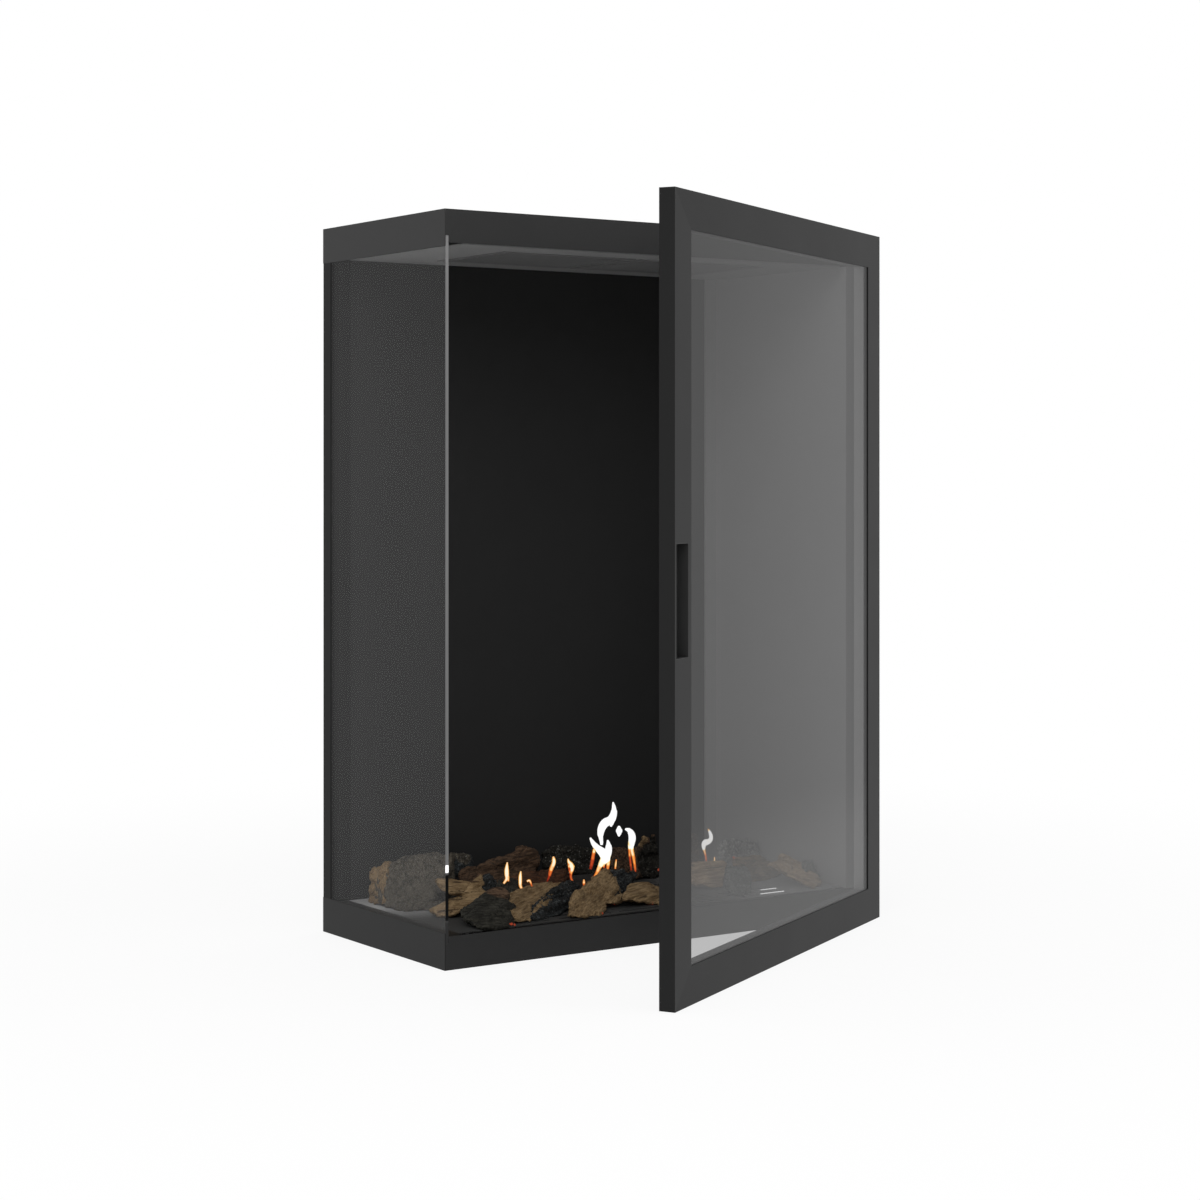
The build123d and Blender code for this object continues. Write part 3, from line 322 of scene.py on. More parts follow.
class FinishBench(Bench):
    """The node tree of one finish."""

    def __init__(self, name: str) -> None:
        """Make an empty material with an output.

        Args:
            name: The material's name.
        """
        self.material = bpy.data.materials.new(name)
        self.material.use_nodes = True
        super().__init__(self.material.node_tree)
        self.tree.nodes.clear()
        self.exit = self.node("ShaderNodeOutputMaterial")

    def place(self) -> Wire:
        """Give the place on the piece, in metres."""
        return self.add("ShaderNodeTexCoord", output="Object")

    def attribute(self, name: str) -> Wire:
        """Give a value kept on the mesh by the shape's own nodes."""
        return self.add("ShaderNodeAttribute", {"attribute_name": name}, output="Fac")

    def bump(self, height: Wire, depth: float, strength: float = 1.0) -> Wire:
        """Turn a height into a bumped normal, with its depth in metres."""
        inputs = {"Height": height, "Distance": depth, "Strength": strength}
        return self.add("ShaderNodeBump", {}, inputs)

    def glow(self, colour: Colour) -> Wire:
        """Give a shader that shows one colour whatever lights it."""
        return self.add("ShaderNodeEmission", {}, {"Color": opaque(colour), "Strength": 1.0})

    def matt(self, colour: Colour) -> Wire:
        """Give a shader without gloss."""
        return self.add("ShaderNodeBsdfDiffuse", {}, {"Color": opaque(colour)}, "BSDF")

    def cover(self, share: Wire, under: Wire, over: Wire) -> Wire:
        """Lay a share of one shader over another."""
        return self.add("ShaderNodeMixShader", {}, {0: share, 1: under, 2: over})

    def principled(self, **sockets: Any) -> Wire:
        """Give the standard surface shader.

        Args:
            sockets: Values or wires, named as the shader's sockets with underscores for spaces.

        Returns:
            The shader.
        """
        inputs = {key.replace("_", " "): value for key, value in sockets.items()}
        for key, value in inputs.items():
            if key.endswith("Color") and isinstance(value, tuple):
                inputs[key] = opaque(value)
        return self.add("ShaderNodeBsdfPrincipled", {}, inputs)

    def surface(self, **sockets: Any) -> bpy.types.Material:
        """Finish with the standard surface shader and give the material."""
        return self.close(self.principled(**sockets))

    def close(self, shader: Wire) -> bpy.types.Material:
        """Join a shader to the output and give the material."""
        self.tree.links.new(shader.socket, self.exit.inputs["Surface"])
        return self.material


class ShapeBench(Bench):
    """A Geometry Nodes tree with named inputs."""

    SOCKETS = {float: "NodeSocketFloat", int: "NodeSocketInt", tuple: "NodeSocketVector"}

    def __init__(self, name: str, **inputs: Any) -> None:
        """Make the tree and its named inputs.

        Args:
            name: The tree's name.
            inputs: A default for each input; a type of socket stands for one without a default.
        """
        super().__init__(bpy.data.node_groups.new(name, "GeometryNodeTree"))
        sides = self.tree.interface
        sides.new_socket(name="Geometry", in_out="OUTPUT", socket_type="NodeSocketGeometry")
        sides.new_socket(name="Geometry", in_out="INPUT", socket_type="NodeSocketGeometry")
        for key, value in inputs.items():
            kind = value if isinstance(value, str) else self.SOCKETS[type(value)]
            made = sides.new_socket(name=key.replace("_", " "), in_out="INPUT", socket_type=kind)
            if not isinstance(value, str):
                made.default_value = value
        sides.new_socket(name="Finish", in_out="INPUT", socket_type="NodeSocketMaterial")
        self.entry = self.node("NodeGroupInput")

    def given(self, name: str) -> Wire:
        """Give the wire of a named input."""
        return Wire(self, self.entry.outputs[name])

    def keep(self, geometry: Wire, name: str, value: Wire) -> Wire:
        """Store a value on the points under a name that a finish can read."""
        settings = {"data_type": "FLOAT", "domain": "POINT"}
        inputs = {"Geometry": geometry, "Name": name, "Value": value}
        return self.add("GeometryNodeStoreNamedAttribute", settings, inputs)

    def nearest(self, surface: Wire, name: str, where: Wire) -> Wire:
        """Give the value kept on the nearest face of another surface."""
        kind = {"data_type": "FLOAT"}
        kept = self.add("GeometryNodeInputNamedAttribute", kind, {"Name": name}, "Attribute")
        inputs = {"Mesh": surface, "Value": kept, "Sample Position": where}
        return self.add("GeometryNodeSampleNearestSurface", kind, inputs, "Value")

    def push(self, geometry: Wire, rise: Given) -> Wire:
        """Move every point outwards by its own amount."""
        shift = self.scaled(self.add("GeometryNodeInputNormal"), rise)
        return self.add("GeometryNodeSetPosition", {}, {"Geometry": geometry, "Offset": shift})

    def close(self, geometry: Wire) -> None:
        """End in real geometry with its finish set, and join it to the output."""
        real = self.add("GeometryNodeRealizeInstances", {}, {"Geometry": geometry})
        inputs = {"Geometry": real, "Material": self.given("Finish")}
        dressed = self.add("GeometryNodeSetMaterial", {}, inputs)
        self.node("NodeGroupOutput", {}, {"Geometry": dressed})

    def shape(self, base: bpy.types.Object, finish: bpy.types.Material, **values: Any) -> None:
        """Put the tree on an object with its input values, each set by its socket's identifier.

        Args:
            base: The object whose geometry goes in.
            finish: The material for the result.
            values: Input values, named with underscores for spaces.
        """
        modifier = base.modifiers.new(self.tree.name, "NODES")
        modifier.node_group = self.tree
        names = {key.replace("_", " "): value for key, value in values.items()}
        names["Finish"] = finish
        for item in self.tree.interface.items_tree:
            if item.in_out == "INPUT" and item.name in names:
                modifier[item.identifier] = names[item.name]


def linked(made: bpy.types.Object) -> bpy.types.Object:
    """Link a new object to the scene and give it back."""
    bpy.context.scene.collection.objects.link(made)
    return made


def plain_mesh(source: bpy.types.Object, name: str) -> bpy.types.Object:
    """Turn an object and its modifiers into a plain mesh piece and drop the source.

    Args:
        source: The object with its modifiers.
        name: The new piece's name.

    Returns:
        A mesh object at the origin, with no modifiers.
    """
    bpy.context.view_layer.update()
    seen = source.evaluated_get(bpy.context.evaluated_depsgraph_get())
    mesh = bpy.data.meshes.new_from_object(seen)
    mesh.name = name
    piece = linked(bpy.data.objects.new(name, mesh))
    bpy.data.objects.remove(source)
    return piece


def drafted(name: str, mesh: bmesh.types.BMesh) -> bpy.types.Object:
    """Make an object from a mesh in the making, with its faces outwards.

    Args:
        name: The object's name.
        mesh: The mesh, which is freed.

    Returns:
        The new object.
    """
    bmesh.ops.remove_doubles(mesh, verts=mesh.verts, dist=WELD)
    bmesh.ops.recalc_face_normals(mesh, faces=mesh.faces)
    data = bpy.data.meshes.new(name)
    mesh.to_mesh(data)
    mesh.free()
    return linked(bpy.data.objects.new(name, data))


def dress(piece: bpy.types.Object, finish: bpy.types.Material) -> None:
    """Give every material slot of a piece one finish."""
    if not piece.data.materials:
        piece.data.materials.append(finish)
    for number in range(len(piece.data.materials)):
        piece.data.materials[number] = finish


def smooth(piece: bpy.types.Object) -> None:
    """Shade every face of a piece smoothly."""
    for face in piece.data.polygons:
        face.use_smooth = True


@dataclass(frozen=True)
class PowderCoat:
    """Charcoal powder coat: a fine orange peel and a faint cloudiness.

    The spread is what the clouds take from the roughness and add to it. The peel is in metres.
    """

    colour: float = 0.012
    gloss: float = 0.12
    roughness: float = 0.42
    spread: Span = (-0.05, 0.03)
    cloud: float = 0.1
    clouds: Noise = Noise(9.0, 3.0)
    grit: float = 0.2
    grains: Noise = Noise(900.0)
    peel: float = 0.000006
    dimples: Noise = Noise(650.0, 1.0)
    dimple_strength: float = 0.4

    def make(self, name: str) -> bpy.types.Material:
        """Make the material."""
        bench = FinishBench(name)
        where = bench.place()
        clouds = bench.noise(where, self.clouds)
        tone = clouds * (1 - self.grit) + bench.noise(where, self.grains) * self.grit
        low, high = (grey(self.colour * share) for share in (1 - self.cloud, 1 + self.cloud))
        smoothest, roughest = (self.roughness + change for change in self.spread)
        return bench.surface(
            Base_Color=bench.mix(tone, low, high),
            Roughness=clouds.between(smoothest, roughest),
            Specular_IOR_Level=self.gloss,
            Normal=bench.bump(bench.noise(where, self.dimples), self.peel, self.dimple_strength),
        )


@dataclass(frozen=True)
class HearthFinish:
    """Painted hearth floor with painted light and shade on it: darker round the burner, which is painted
    shadow of the logs, and paler at its rear left and right, which is painted light.

    The reaches of the lit rear, left and right are in metres from the middle of the casing, and each
    runs from dark to pale.
    """

    # dark is the painted shadow round the burner, and pale the painted light at the rear left and right.
    dark: Colour = (0.0315, 0.0315, 0.030555)
    pale: Colour = grey(0.34)
    rear_reach: Span = (-0.04, 0.09)
    left_reach: Span = (-0.12, -0.3)
    right_reach: Span = (0.1, 0.26)
    lit_right_share: float = 0.7
    wander: float = 0.12
    wandering: Noise = Noise(9.0, 4.0)
    ash: Noise = Noise(240.0, 4.0, 0.7)
    ash_shares: Span = (0.9, 1.1)
    fleck: Colour = (0.12, 0.115, 0.11)
    fleck_reach: Span = (0.62, 0.7)
    fleck_share: float = 0.3
    roughness: Span = (0.55, 0.75)
    gloss: float = 0.2
    grain_depth: float = 0.00015
    grain_strength: float = 0.4

    def make(self, name: str) -> bpy.types.Material:
        """Make the material."""
        bench = FinishBench(name)
        where = bench.place()
        wander = self.wander * bench.noise(where, self.wandering) - self.wander / 2
        x = bench.axis(where, 0) + wander
        y = bench.axis(where, 1) + wander
        # Painted light and shade: paler towards the rear left and the right end, and painted shadow of the
        # logs round the burner.
        rear = y.ramp(*self.rear_reach) * x.ramp(*self.left_reach)
        right = x.ramp(*self.right_reach) * self.lit_right_share
        ash = bench.noise(where, self.ash)
        lit_share = rear.above(right) * ash.between(*self.ash_shares)
        colour = bench.mix(lit_share.below(1.0), self.dark, self.pale)
        flecks = ash.ramp(*self.fleck_reach) * self.fleck_share
        return bench.surface(
            Base_Color=bench.mix(flecks, colour, self.fleck),
            Roughness=ash.between(*self.roughness),
            Specular_IOR_Level=self.gloss,
            Normal=bench.bump(ash, self.grain_depth, self.grain_strength),
        )


@dataclass(frozen=True)
class PaneGlass:
    """Clear glass with mirror gloss, a white glow that is a painted reflection of the pale room, and a pale
    film towards its foot that is partly dusty haze and partly painted reflection.

    Its front edge is ground. Going up, in metres over the floor, that edge is dark at its foot, then
    black as a painted dark reflection of the logs, has one painted bright glint, and shows its own grey
    above it.
    """

    gloss: float = 0.06
    # The veil is a white glow: a painted reflection of the pale room.
    veil: float = 0.2
    clear: float = 0.94
    head_on_shine: float = 0.04
    # A pale matt film towards the foot: partly dusty haze, partly painted reflection.
    dust_and_reflection: float = 0.0
    film_heights: Span = (0.25, 0.12)
    film_cloud: Noise = Noise(30.0, 4.0)
    film_shares: Span = (0.85, 1.15)
    film_colour: Colour = grey(0.8)
    edge_seen: float = 1.0
    edge_facing: Span = (0.85, 0.95)
    edge_tones: Span = (0.16, 0.24)
    edge_streaks: Grain = Grain((400.0, 400.0, 6.0))
    edge_roughness: Span = (0.3, 0.45)
    edge_gloss: float = 0.1
    foot_heights: Span = (0.066, 0.07)
    foot_colour: Colour = grey(0.03)
    # The black band up the edge is a painted dark reflection of the logs behind.
    dark_reflection_heights: Span = (0.137, 0.131)
    dark_reflection_colour: Colour = grey(0.002)
    # The glint is a painted highlight: a white band on the edge that also glows.
    glint_heights: Span = (0.1365, 0.146)
    glint_blur: float = 0.001
    glint_glow: float = 0.6

    def _pane(self, bench: FinishBench, height: Wire) -> Wire:
        """Give the clear glass itself.

        Args:
            bench: The finish that it is part of.
            height: The height over the floor.

        Returns:
            The pane's shader.
        """
        facing = bench.add("ShaderNodeLayerWeight", {}, {"Blend": 0.5}, "Facing")
        shine = (facing**5).between(self.head_on_shine, 1.0)
        through = {"Color": opaque(grey(self.clear))}
        clear = bench.add("ShaderNodeBsdfTransparent", {}, through, "BSDF")
        mirror = bench.add("ShaderNodeBsdfGlossy", {}, {"Roughness": 0.0}, "BSDF")
        pane = bench.cover(self.gloss * shine, clear, mirror)
        # Painted reflection: a white glow laid over the pane, stronger towards grazing angles, for the pale
        # room that it mirrors.
        pane = bench.cover(self.veil * shine, pane, bench.glow(WHITE))
        # Pale matt film, stronger towards the foot: partly dusty haze, partly painted reflection.
        cloud = bench.noise(bench.place(), self.film_cloud).between(*self.film_shares)
        film = height.ramp(*self.film_heights) * self.dust_and_reflection * cloud
        return bench.cover(film, pane, bench.matt(self.film_colour))

    def _edge(self, bench: FinishBench, height: Wire) -> Wire:
        """Give the ground front edge.

        Args:
            bench: The finish that it is part of.
            height: The height over the floor.

        Returns:
            The edge's shader.
        """
        streaks = bench.drawn(bench.place(), self.edge_streaks)
        dull, pale = (grey(tone) for tone in self.edge_tones)
        over_foot = height.ramp(*self.foot_heights)
        colour = bench.mix(over_foot, self.foot_colour, bench.mix(streaks, dull, pale))
        # Painted highlight: a white band at one height on the edge, which also glows.
        low, high = self.glint_heights
        glint = height.ramp(low - self.glint_blur, low) * height.ramp(high + self.glint_blur, high)
        colour = bench.mix(glint, colour, WHITE)
        # Painted reflection: the edge is black from its foot up to one height, where it would mirror the
        # dark logs.
        dark_reflection = height.ramp(*self.dark_reflection_heights) * over_foot
        return bench.principled(
            Base_Color=bench.mix(dark_reflection, colour, self.dark_reflection_colour),
            Roughness=streaks.between(*self.edge_roughness),
            Specular_IOR_Level=self.edge_gloss,
            Emission_Color=bench.mix(glint, BLACK, grey(self.glint_glow)),
            Emission_Strength=1.0,
        )

    def make(self, name: str) -> bpy.types.Material:
        """Make the material."""
        bench = FinishBench(name)
        height = bench.axis(bench.place(), 2)
        outward = bench.add("ShaderNodeNewGeometry", output="Normal")
        inside = bench.add("ShaderNodeNewGeometry", output="Backfacing")
        forward = 0 - bench.axis(outward, 1)
        on_edge = forward.ramp(*self.edge_facing) * self.edge_seen * (1 - inside)
        return bench.close(bench.cover(on_edge, self._pane(bench, height), self._edge(bench, height)))


@dataclass(frozen=True)
class MetalFinish:
    """Bare or plated metal with fine drawn lines and slight stains."""

    pale: Colour = (0.42, 0.42, 0.41)
    dull: Colour = (0.3, 0.3, 0.29)
    roughness: float = 0.32
    polish: float = 0.06
    stains: Noise = Noise(60.0, 4.0)
    stain_blur: float = 0.16
    lines: Grain = Grain((900.0, 900.0, 60.0))
    line_blur: float = 0.05
    line_depth: float = 0.00002
    line_strength: float = 0.5

    def make(self, name: str) -> bpy.types.Material:
        """Make the material."""
        bench = FinishBench(name)
        where = bench.place()
        stains = bench.noise(where, self.stains)
        lines = bench.drawn(where, self.lines)
        smoothest = self.roughness - self.polish
        return bench.surface(
            Base_Color=bench.mix(stains, self.dull, self.pale),
            Metallic=1.0,
            Roughness=smoothest + self.stain_blur * stains + self.line_blur * lines,
            Normal=bench.bump(lines, self.line_depth, self.line_strength),
        )


@dataclass(frozen=True)
class FibreFinish:
    """Pressed board or woven strip made of mineral fibre, with its weave in cells a metre."""

    pale: Colour = (0.55, 0.52, 0.46)
    dull: Colour = (0.36, 0.34, 0.3)
    weave: float = 420.0
    depth: float = 0.0005
    strength: float = 0.8
    blotches: Noise = Noise(35.0, 4.0)
    strand_stretch: Point = (1.0, 1.0, 0.6)
    strand_reach: Span = (0.0, 0.3)
    roughness: Span = (0.85, 0.95)
    gloss: float = 0.2

    def make(self, name: str) -> bpy.types.Material:
        """Make the material."""
        bench = FinishBench(name)
        where = bench.place()
        blotches = bench.noise(where, self.blotches)
        stretched = bench.vector("MULTIPLY", where, self.strand_stretch)
        strands = bench.cells(stretched, self.weave).ramp(*self.strand_reach)
        return bench.surface(
            Base_Color=bench.mix(0.5 * blotches + 0.5 * strands, self.dull, self.pale),
            Roughness=blotches.between(*self.roughness),
            Specular_IOR_Level=self.gloss,
            Normal=bench.bump(strands, self.depth, self.strength),
        )


class Wood(Enum):
    """How a face of a ceramic fire log is painted: shade, light and crevice colours."""

    SPLIT = ((0.105, 0.066, 0.032), (0.245, 0.168, 0.088), (0.022, 0.013, 0.007))
    # A lighter copy of SPLIT: painted light for the logs behind the door, which get less light.
    LIT_SPLIT = ((0.190, 0.125, 0.070), (0.420, 0.300, 0.175), (0.070, 0.044, 0.024))
    BARK = ((0.026, 0.015, 0.009), (0.104, 0.063, 0.038), (0.006, 0.004, 0.003))
    RUSSET = ((0.030, 0.014, 0.008), (0.085, 0.039, 0.020), (0.008, 0.004, 0.003))
    CHAR = ((0.006, 0.0075, 0.008), (0.064, 0.071, 0.073), (0.002, 0.002, 0.002))
    SOOT = ((0.008, 0.0075, 0.006), (0.034, 0.031, 0.025), (0.003, 0.003, 0.002))
    ASH = ((0.044, 0.038, 0.029), (0.104, 0.091, 0.071), (0.014, 0.012, 0.009))
    OLIVE = ((0.007, 0.0065, 0.005), (0.036, 0.034, 0.027), (0.003, 0.003, 0.002))
    # WHITE and PALE: grey crackled offcuts, partly their own grey and partly painted light for the shaded
    # corner behind the door; WHITE is a brighter copy of PALE.
    WHITE = ((0.210, 0.213, 0.205), (0.420, 0.425, 0.410), (0.080, 0.080, 0.078))
    PALE = ((0.075, 0.080, 0.074), (0.250, 0.260, 0.240), (0.030, 0.031, 0.029))


CRACKLED_WOODS = {Wood.CHAR, Wood.SOOT, Wood.PALE, Wood.WHITE}


class Side(Enum):
    """Which paint a chunk of a log takes."""

    MAIN = "main"
    CUT = "cut"
    BURNT = "burnt"


@dataclass(frozen=True)
class LogFinish:
    """Fired ceramic painted as wood: a main wood, a second one on the cut faces, and char.

    The heading is the way the grain runs, in degrees. Specks are white flecks of ash, and lines are
    the dark cracks along the grain. Crust is what burnt wood is covered with.
    """

    main: Wood = Wood.BARK
    cut: Wood = Wood.SPLIT
    burnt: Wood = Wood.CHAR
    heading: float = 0.0
    specks: float = 0.25
    lines: float = 0.5
    fibre: Grain = Grain((24.0, 420.0, 420.0), 5.0, 0.7)
    fibre_patch: Noise = Noise(48.0, 4.0, 0.6)
    fibre_share: float = 0.7
    fibre_reach: Span = (0.40, 0.60)
    line: Grain = Grain((9.0, 170.0, 170.0), 3.0)
    line_reach: Span = (0.42, 0.36)
    crust: Noise = Noise(260.0, 5.0, 0.75)
    crust_patch: Noise = Noise(45.0, 3.0)
    crust_share: float = 0.75
    crust_reach: Span = (0.42, 0.66)
    crust_cells: float = 170.0
    crust_shift: Point = (0.3, 0.1, 0.2)
    crust_gap: Span = (0.14, 0.0)
    crust_gap_share: float = 0.8
    border: Noise = Noise(90.0, 5.0, 0.65)
    cut_reach: Span = (0.40, 0.60)
    burnt_reach: Span = (0.38, 0.64)
    speck: Noise = Noise(330.0, 3.0, 0.7)
    speck_reach: Span = (0.60, 0.68)
    speck_shares: Span = (0.35, 1.0)
    speck_colour: Colour = (0.36, 0.36, 0.34)
    hollow_reach: Span = (0.25, 0.95)
    hollow_share: float = 0.75
    hollow_colour: Colour = (0.006, 0.005, 0.004)
    strand: Grain = Grain((30.0, 520.0, 520.0), 4.0, 0.7)
    pores: Noise = Noise(480.0, 4.0, 0.7)
    roughness: Span = (0.82, 0.96)
    gloss: float = 0.25
    grain_depth: float = 0.0022
    grain_strength: float = 0.9

    def _crackle(self, bench: FinishBench, where: Wire, wood: Wood) -> Wire:
        """Paint wood that the fire has broken into small cells."""
        shade, light, crevice = wood.value
        fine = self.crust_share * bench.noise(where, self.crust)
        tone = fine + (1 - self.crust_share) * bench.noise(where, self.crust_patch)
        shifted = bench.vector("ADD", where, self.crust_shift)
        gaps = bench.cells(shifted, self.crust_cells).ramp(*self.crust_gap) * self.crust_gap_share
        return bench.mix(gaps, bench.mix(tone.ramp(*self.crust_reach), shade, light), crevice)

    def _fibres(self, bench: FinishBench, where: Wire, wood: Wood) -> Wire:
        """Paint wood with fibres and dark lines along its grain."""
        shade, light, crevice = wood.value
        heading = math.radians(-self.heading)
        fine = self.fibre_share * bench.grain(where, heading, self.fibre)
        tone = fine + (1 - self.fibre_share) * bench.noise(where, self.fibre_patch)
        lines = bench.grain(where, heading, self.line).ramp(*self.line_reach) * self.lines
        return bench.mix(lines, bench.mix(tone.ramp(*self.fibre_reach), shade, light), crevice)

    def _painted(self, bench: FinishBench, where: Wire, wood: Wood) -> Wire:
        """Paint a wood the way it calls for."""
        paint = self._crackle if wood in CRACKLED_WOODS else self._fibres
        return paint(bench, where, wood)

    def make(self, name: str) -> bpy.types.Material:
        """Make the material; the mesh carries where it is cut, burnt and hollow."""
        bench = FinishBench(name)
        where = bench.place()
        border = 0.5 * (bench.noise(where, self.border) - 0.5)
        cut = (bench.attribute(Side.CUT.value) + border).ramp(*self.cut_reach)
        burnt = (bench.attribute(Side.BURNT.value) + border).ramp(*self.burnt_reach)
        # The carved hollows are darkened: partly the black of char and cracks, partly painted shade in
        # them.
        hollow = bench.attribute("hollow").ramp(*self.hollow_reach) * self.hollow_share
        colour = self._painted(bench, where, self.main)
        colour = bench.mix(cut, colour, self._painted(bench, where, self.cut))
        colour = bench.mix(burnt, colour, self._crackle(bench, where, self.burnt))
        specks = bench.noise(where, self.speck).ramp(*self.speck_reach) * self.specks
        colour = bench.mix(specks * burnt.between(*self.speck_shares), colour, self.speck_colour)
        strands = bench.grain(where, math.radians(-self.heading), self.strand)
        grain = 0.5 * bench.noise(where, self.pores) + 0.5 * strands
        return bench.surface(
            Base_Color=bench.mix(hollow, colour, self.hollow_colour),
            Roughness=grain.between(*self.roughness),
            Specular_IOR_Level=self.gloss,
            Normal=bench.bump(grain, self.grain_depth, self.grain_strength),
        )


@dataclass(frozen=True)
class FlameFinish:
    """Burning gas: red at the foot, then orange and yellow, and white where it is hottest."""

    strength: float = 1.5
    cover: float = 1.0
    chill: float = 0.0
    flicker: float = 0.16
    flickers: Noise = Noise(120.0)
    stops: tuple[tuple[float, Colour], ...] = (
        (0.0, (0.10, 0.008, 0.004)),
        (0.25, (0.36, 0.035, 0.012)),
        (0.48, (0.72, 0.17, 0.03)),
        (0.66, (0.95, 0.50, 0.10)),
        (0.80, (1.0, 0.86, 0.50)),
        (0.92, (1.0, 1.0, 1.0)),
    )

    def make(self, name: str) -> bpy.types.Material:
        """Make the material; the mesh carries how hot it is."""
        bench = FinishBench(name)
        heat = bench.attribute("hotness") * (1 - self.chill)
        heat = heat + self.flicker * bench.noise(bench.place(), self.flickers) - self.flicker / 2
        return bench.surface(
            Base_Color=BLACK,
            Roughness=1.0,
            Specular_IOR_Level=0.0,
            Emission_Color=bench.add("ShaderNodeValToRGB", {"stops": self.stops}, {0: heat}, "Color"),
            Emission_Strength=self.strength,
            Alpha=self.cover,
        )


@dataclass(frozen=True)
class EmberFinish:
    """A glowing coal with a grey crust."""

    strength: float = 1.2
    glow: Colour = (0.24, 0.032, 0.012)
    coal: Colour = (0.02, 0.008, 0.006)
    crust: Colour = (0.07, 0.06, 0.055)
    crust_glow: Colour = (0.010, 0.004, 0.003)
    crusts: Noise = Noise(260.0, 3.0)
    crust_reach: Span = (0.42, 0.6)
    crust_depth: float = 0.0006
    crust_strength: float = 0.6
    roughness: float = 0.9
    gloss: float = 0.1

    def make(self, name: str) -> bpy.types.Material:
        """Make the material."""
        bench = FinishBench(name)
        crust = bench.noise(bench.place(), self.crusts).ramp(*self.crust_reach)
        return bench.surface(
            Base_Color=bench.mix(crust, self.coal, self.crust),
            Roughness=self.roughness,
            Specular_IOR_Level=self.gloss,
            Emission_Color=bench.mix(crust, self.glow, self.crust_glow),
            Emission_Strength=self.strength,
            Normal=bench.bump(crust, self.crust_depth, self.crust_strength),
        )


@dataclass(frozen=True)
class Casing:
    """The steel casing, its liners, hearth floor, ceiling, side pane and fittings.

    Each table gives the solids that share a finish.
    """

    coat: PowderCoat = PowderCoat()
    # The hood bands take a lighter copy of the charcoal coat: painted light on the top of the casing.
    lit_hood_coat: PowderCoat = PowderCoat(colour=0.028)
    # The front base band takes a lighter copy of the charcoal coat: painted light reflected from the floor.
    lit_band_coat: PowderCoat = PowderCoat(colour=0.0245)
    # The left rear post takes a darker copy of the charcoal coat: painted shade.
    shaded_post_coat: PowderCoat = PowderCoat(colour=0.008, gloss=0.07)
    liner: PowderCoat = PowderCoat(0.0215, gloss=0.02, roughness=0.95, cloud=0.04, peel=0.0, grit=0.0)
    chamber: PowderCoat = PowderCoat(0.265, gloss=0.3, roughness=0.5, cloud=0.05, peel=0.0, grit=0.0)
    ceiling: PowderCoat = PowderCoat(0.235, gloss=0.3, roughness=0.5, cloud=0.05, peel=0.0, grit=0.0)
    grille: PowderCoat = PowderCoat(colour=0.14, gloss=0.3, roughness=0.5)
    hearth: HearthFinish = HearthFinish()
    # The side pane carries painted reflections: its white glow, and the dark band and glint up its front
    # edge.
    glass: PaneGlass = PaneGlass(clear=0.97)
    plated: MetalFinish = MetalFinish()
    stained: MetalFinish = MetalFinish((0.26, 0.25, 0.24), (0.14, 0.13, 0.13), 0.42)
    brass: MetalFinish = MetalFinish((0.72, 0.5, 0.2), (0.5, 0.33, 0.13), 0.28)
    board: FibreFinish = FibreFinish()
    moulding: PowderCoat = PowderCoat(colour=0.02, gloss=0.5, roughness=0.5, peel=0.00008)
    magnet_case: PowderCoat = PowderCoat(colour=0.016, gloss=0.35, roughness=0.6)
    skin_nodes: tuple[str, ...] = (
        "base_plate",
        "base_band_left",
        "top_plate",
        "rear_panel",
        "right_panel",
        "right_front_flange",
        "glass_rails",
        "hinge_brackets",
    )
    hood_nodes: tuple[str, ...] = ("hood_band_front", "hood_band_left")
    chamber_nodes: tuple[str, ...] = ("right_liner", "right_front_post", "right_rear_post")
    plated_nodes: tuple[str, ...] = (
        "flue_collar_inner",
        "flue_collar_outer",
        "liner_bearers",
        "hinge_pins",
        "casing_screws",
    )
    stained_nodes: tuple[str, ...] = (
        "burner_tray",
        "burner_tubes",
        "gas_manifold",
        "burner_deck",
        "pilot_assembly",
    )
    brass_nodes: tuple[str, ...] = ("gas_valve", "gas_inlet_union")

    def paint(self, nodes: dict[str, bpy.types.Object]) -> None:
        """Give the casing's solids their finishes.

        Args:
            nodes: The frame's solids by name.
        """
        finishes = {
            self.coat.make("charcoal_powder_coat"): self.skin_nodes,
            self.chamber.make("satin_chamber_paint"): self.chamber_nodes,
            self.lit_hood_coat.make("lit_hood_powder_coat"): self.hood_nodes,
            self.lit_band_coat.make("lit_band_powder_coat"): ("base_band_front",),
            self.shaded_post_coat.make("shaded_post_powder_coat"): ("left_rear_post",),
            self.ceiling.make("satin_ceiling_paint"): ("ceiling_panel",),
            self.hearth.make("hearth_floor_paint"): ("hearth_floor",),
            self.liner.make("matt_stove_black"): ("rear_liner",),
            self.grille.make("grille_paint"): ("ceiling_grilles",),
            self.plated.make("zinc_plate"): self.plated_nodes,
            self.stained.make("heat_stained_steel"): self.stained_nodes,
            self.brass.make("turned_brass"): self.brass_nodes,
            self.board.make("mineral_board"): ("rear_insulation",),
            self.moulding.make("black_moulding"): ("control_box",),
            self.magnet_case.make("black_magnet_case"): ("magnet_catches",),
            self.glass.make("side_pane_glass"): ("left_glass",),
        }
        for finish, names in finishes.items():
            for name in names:
                dress(nodes[name], finish)
            log.info("%s: %s", finish.name, ", ".join(names))


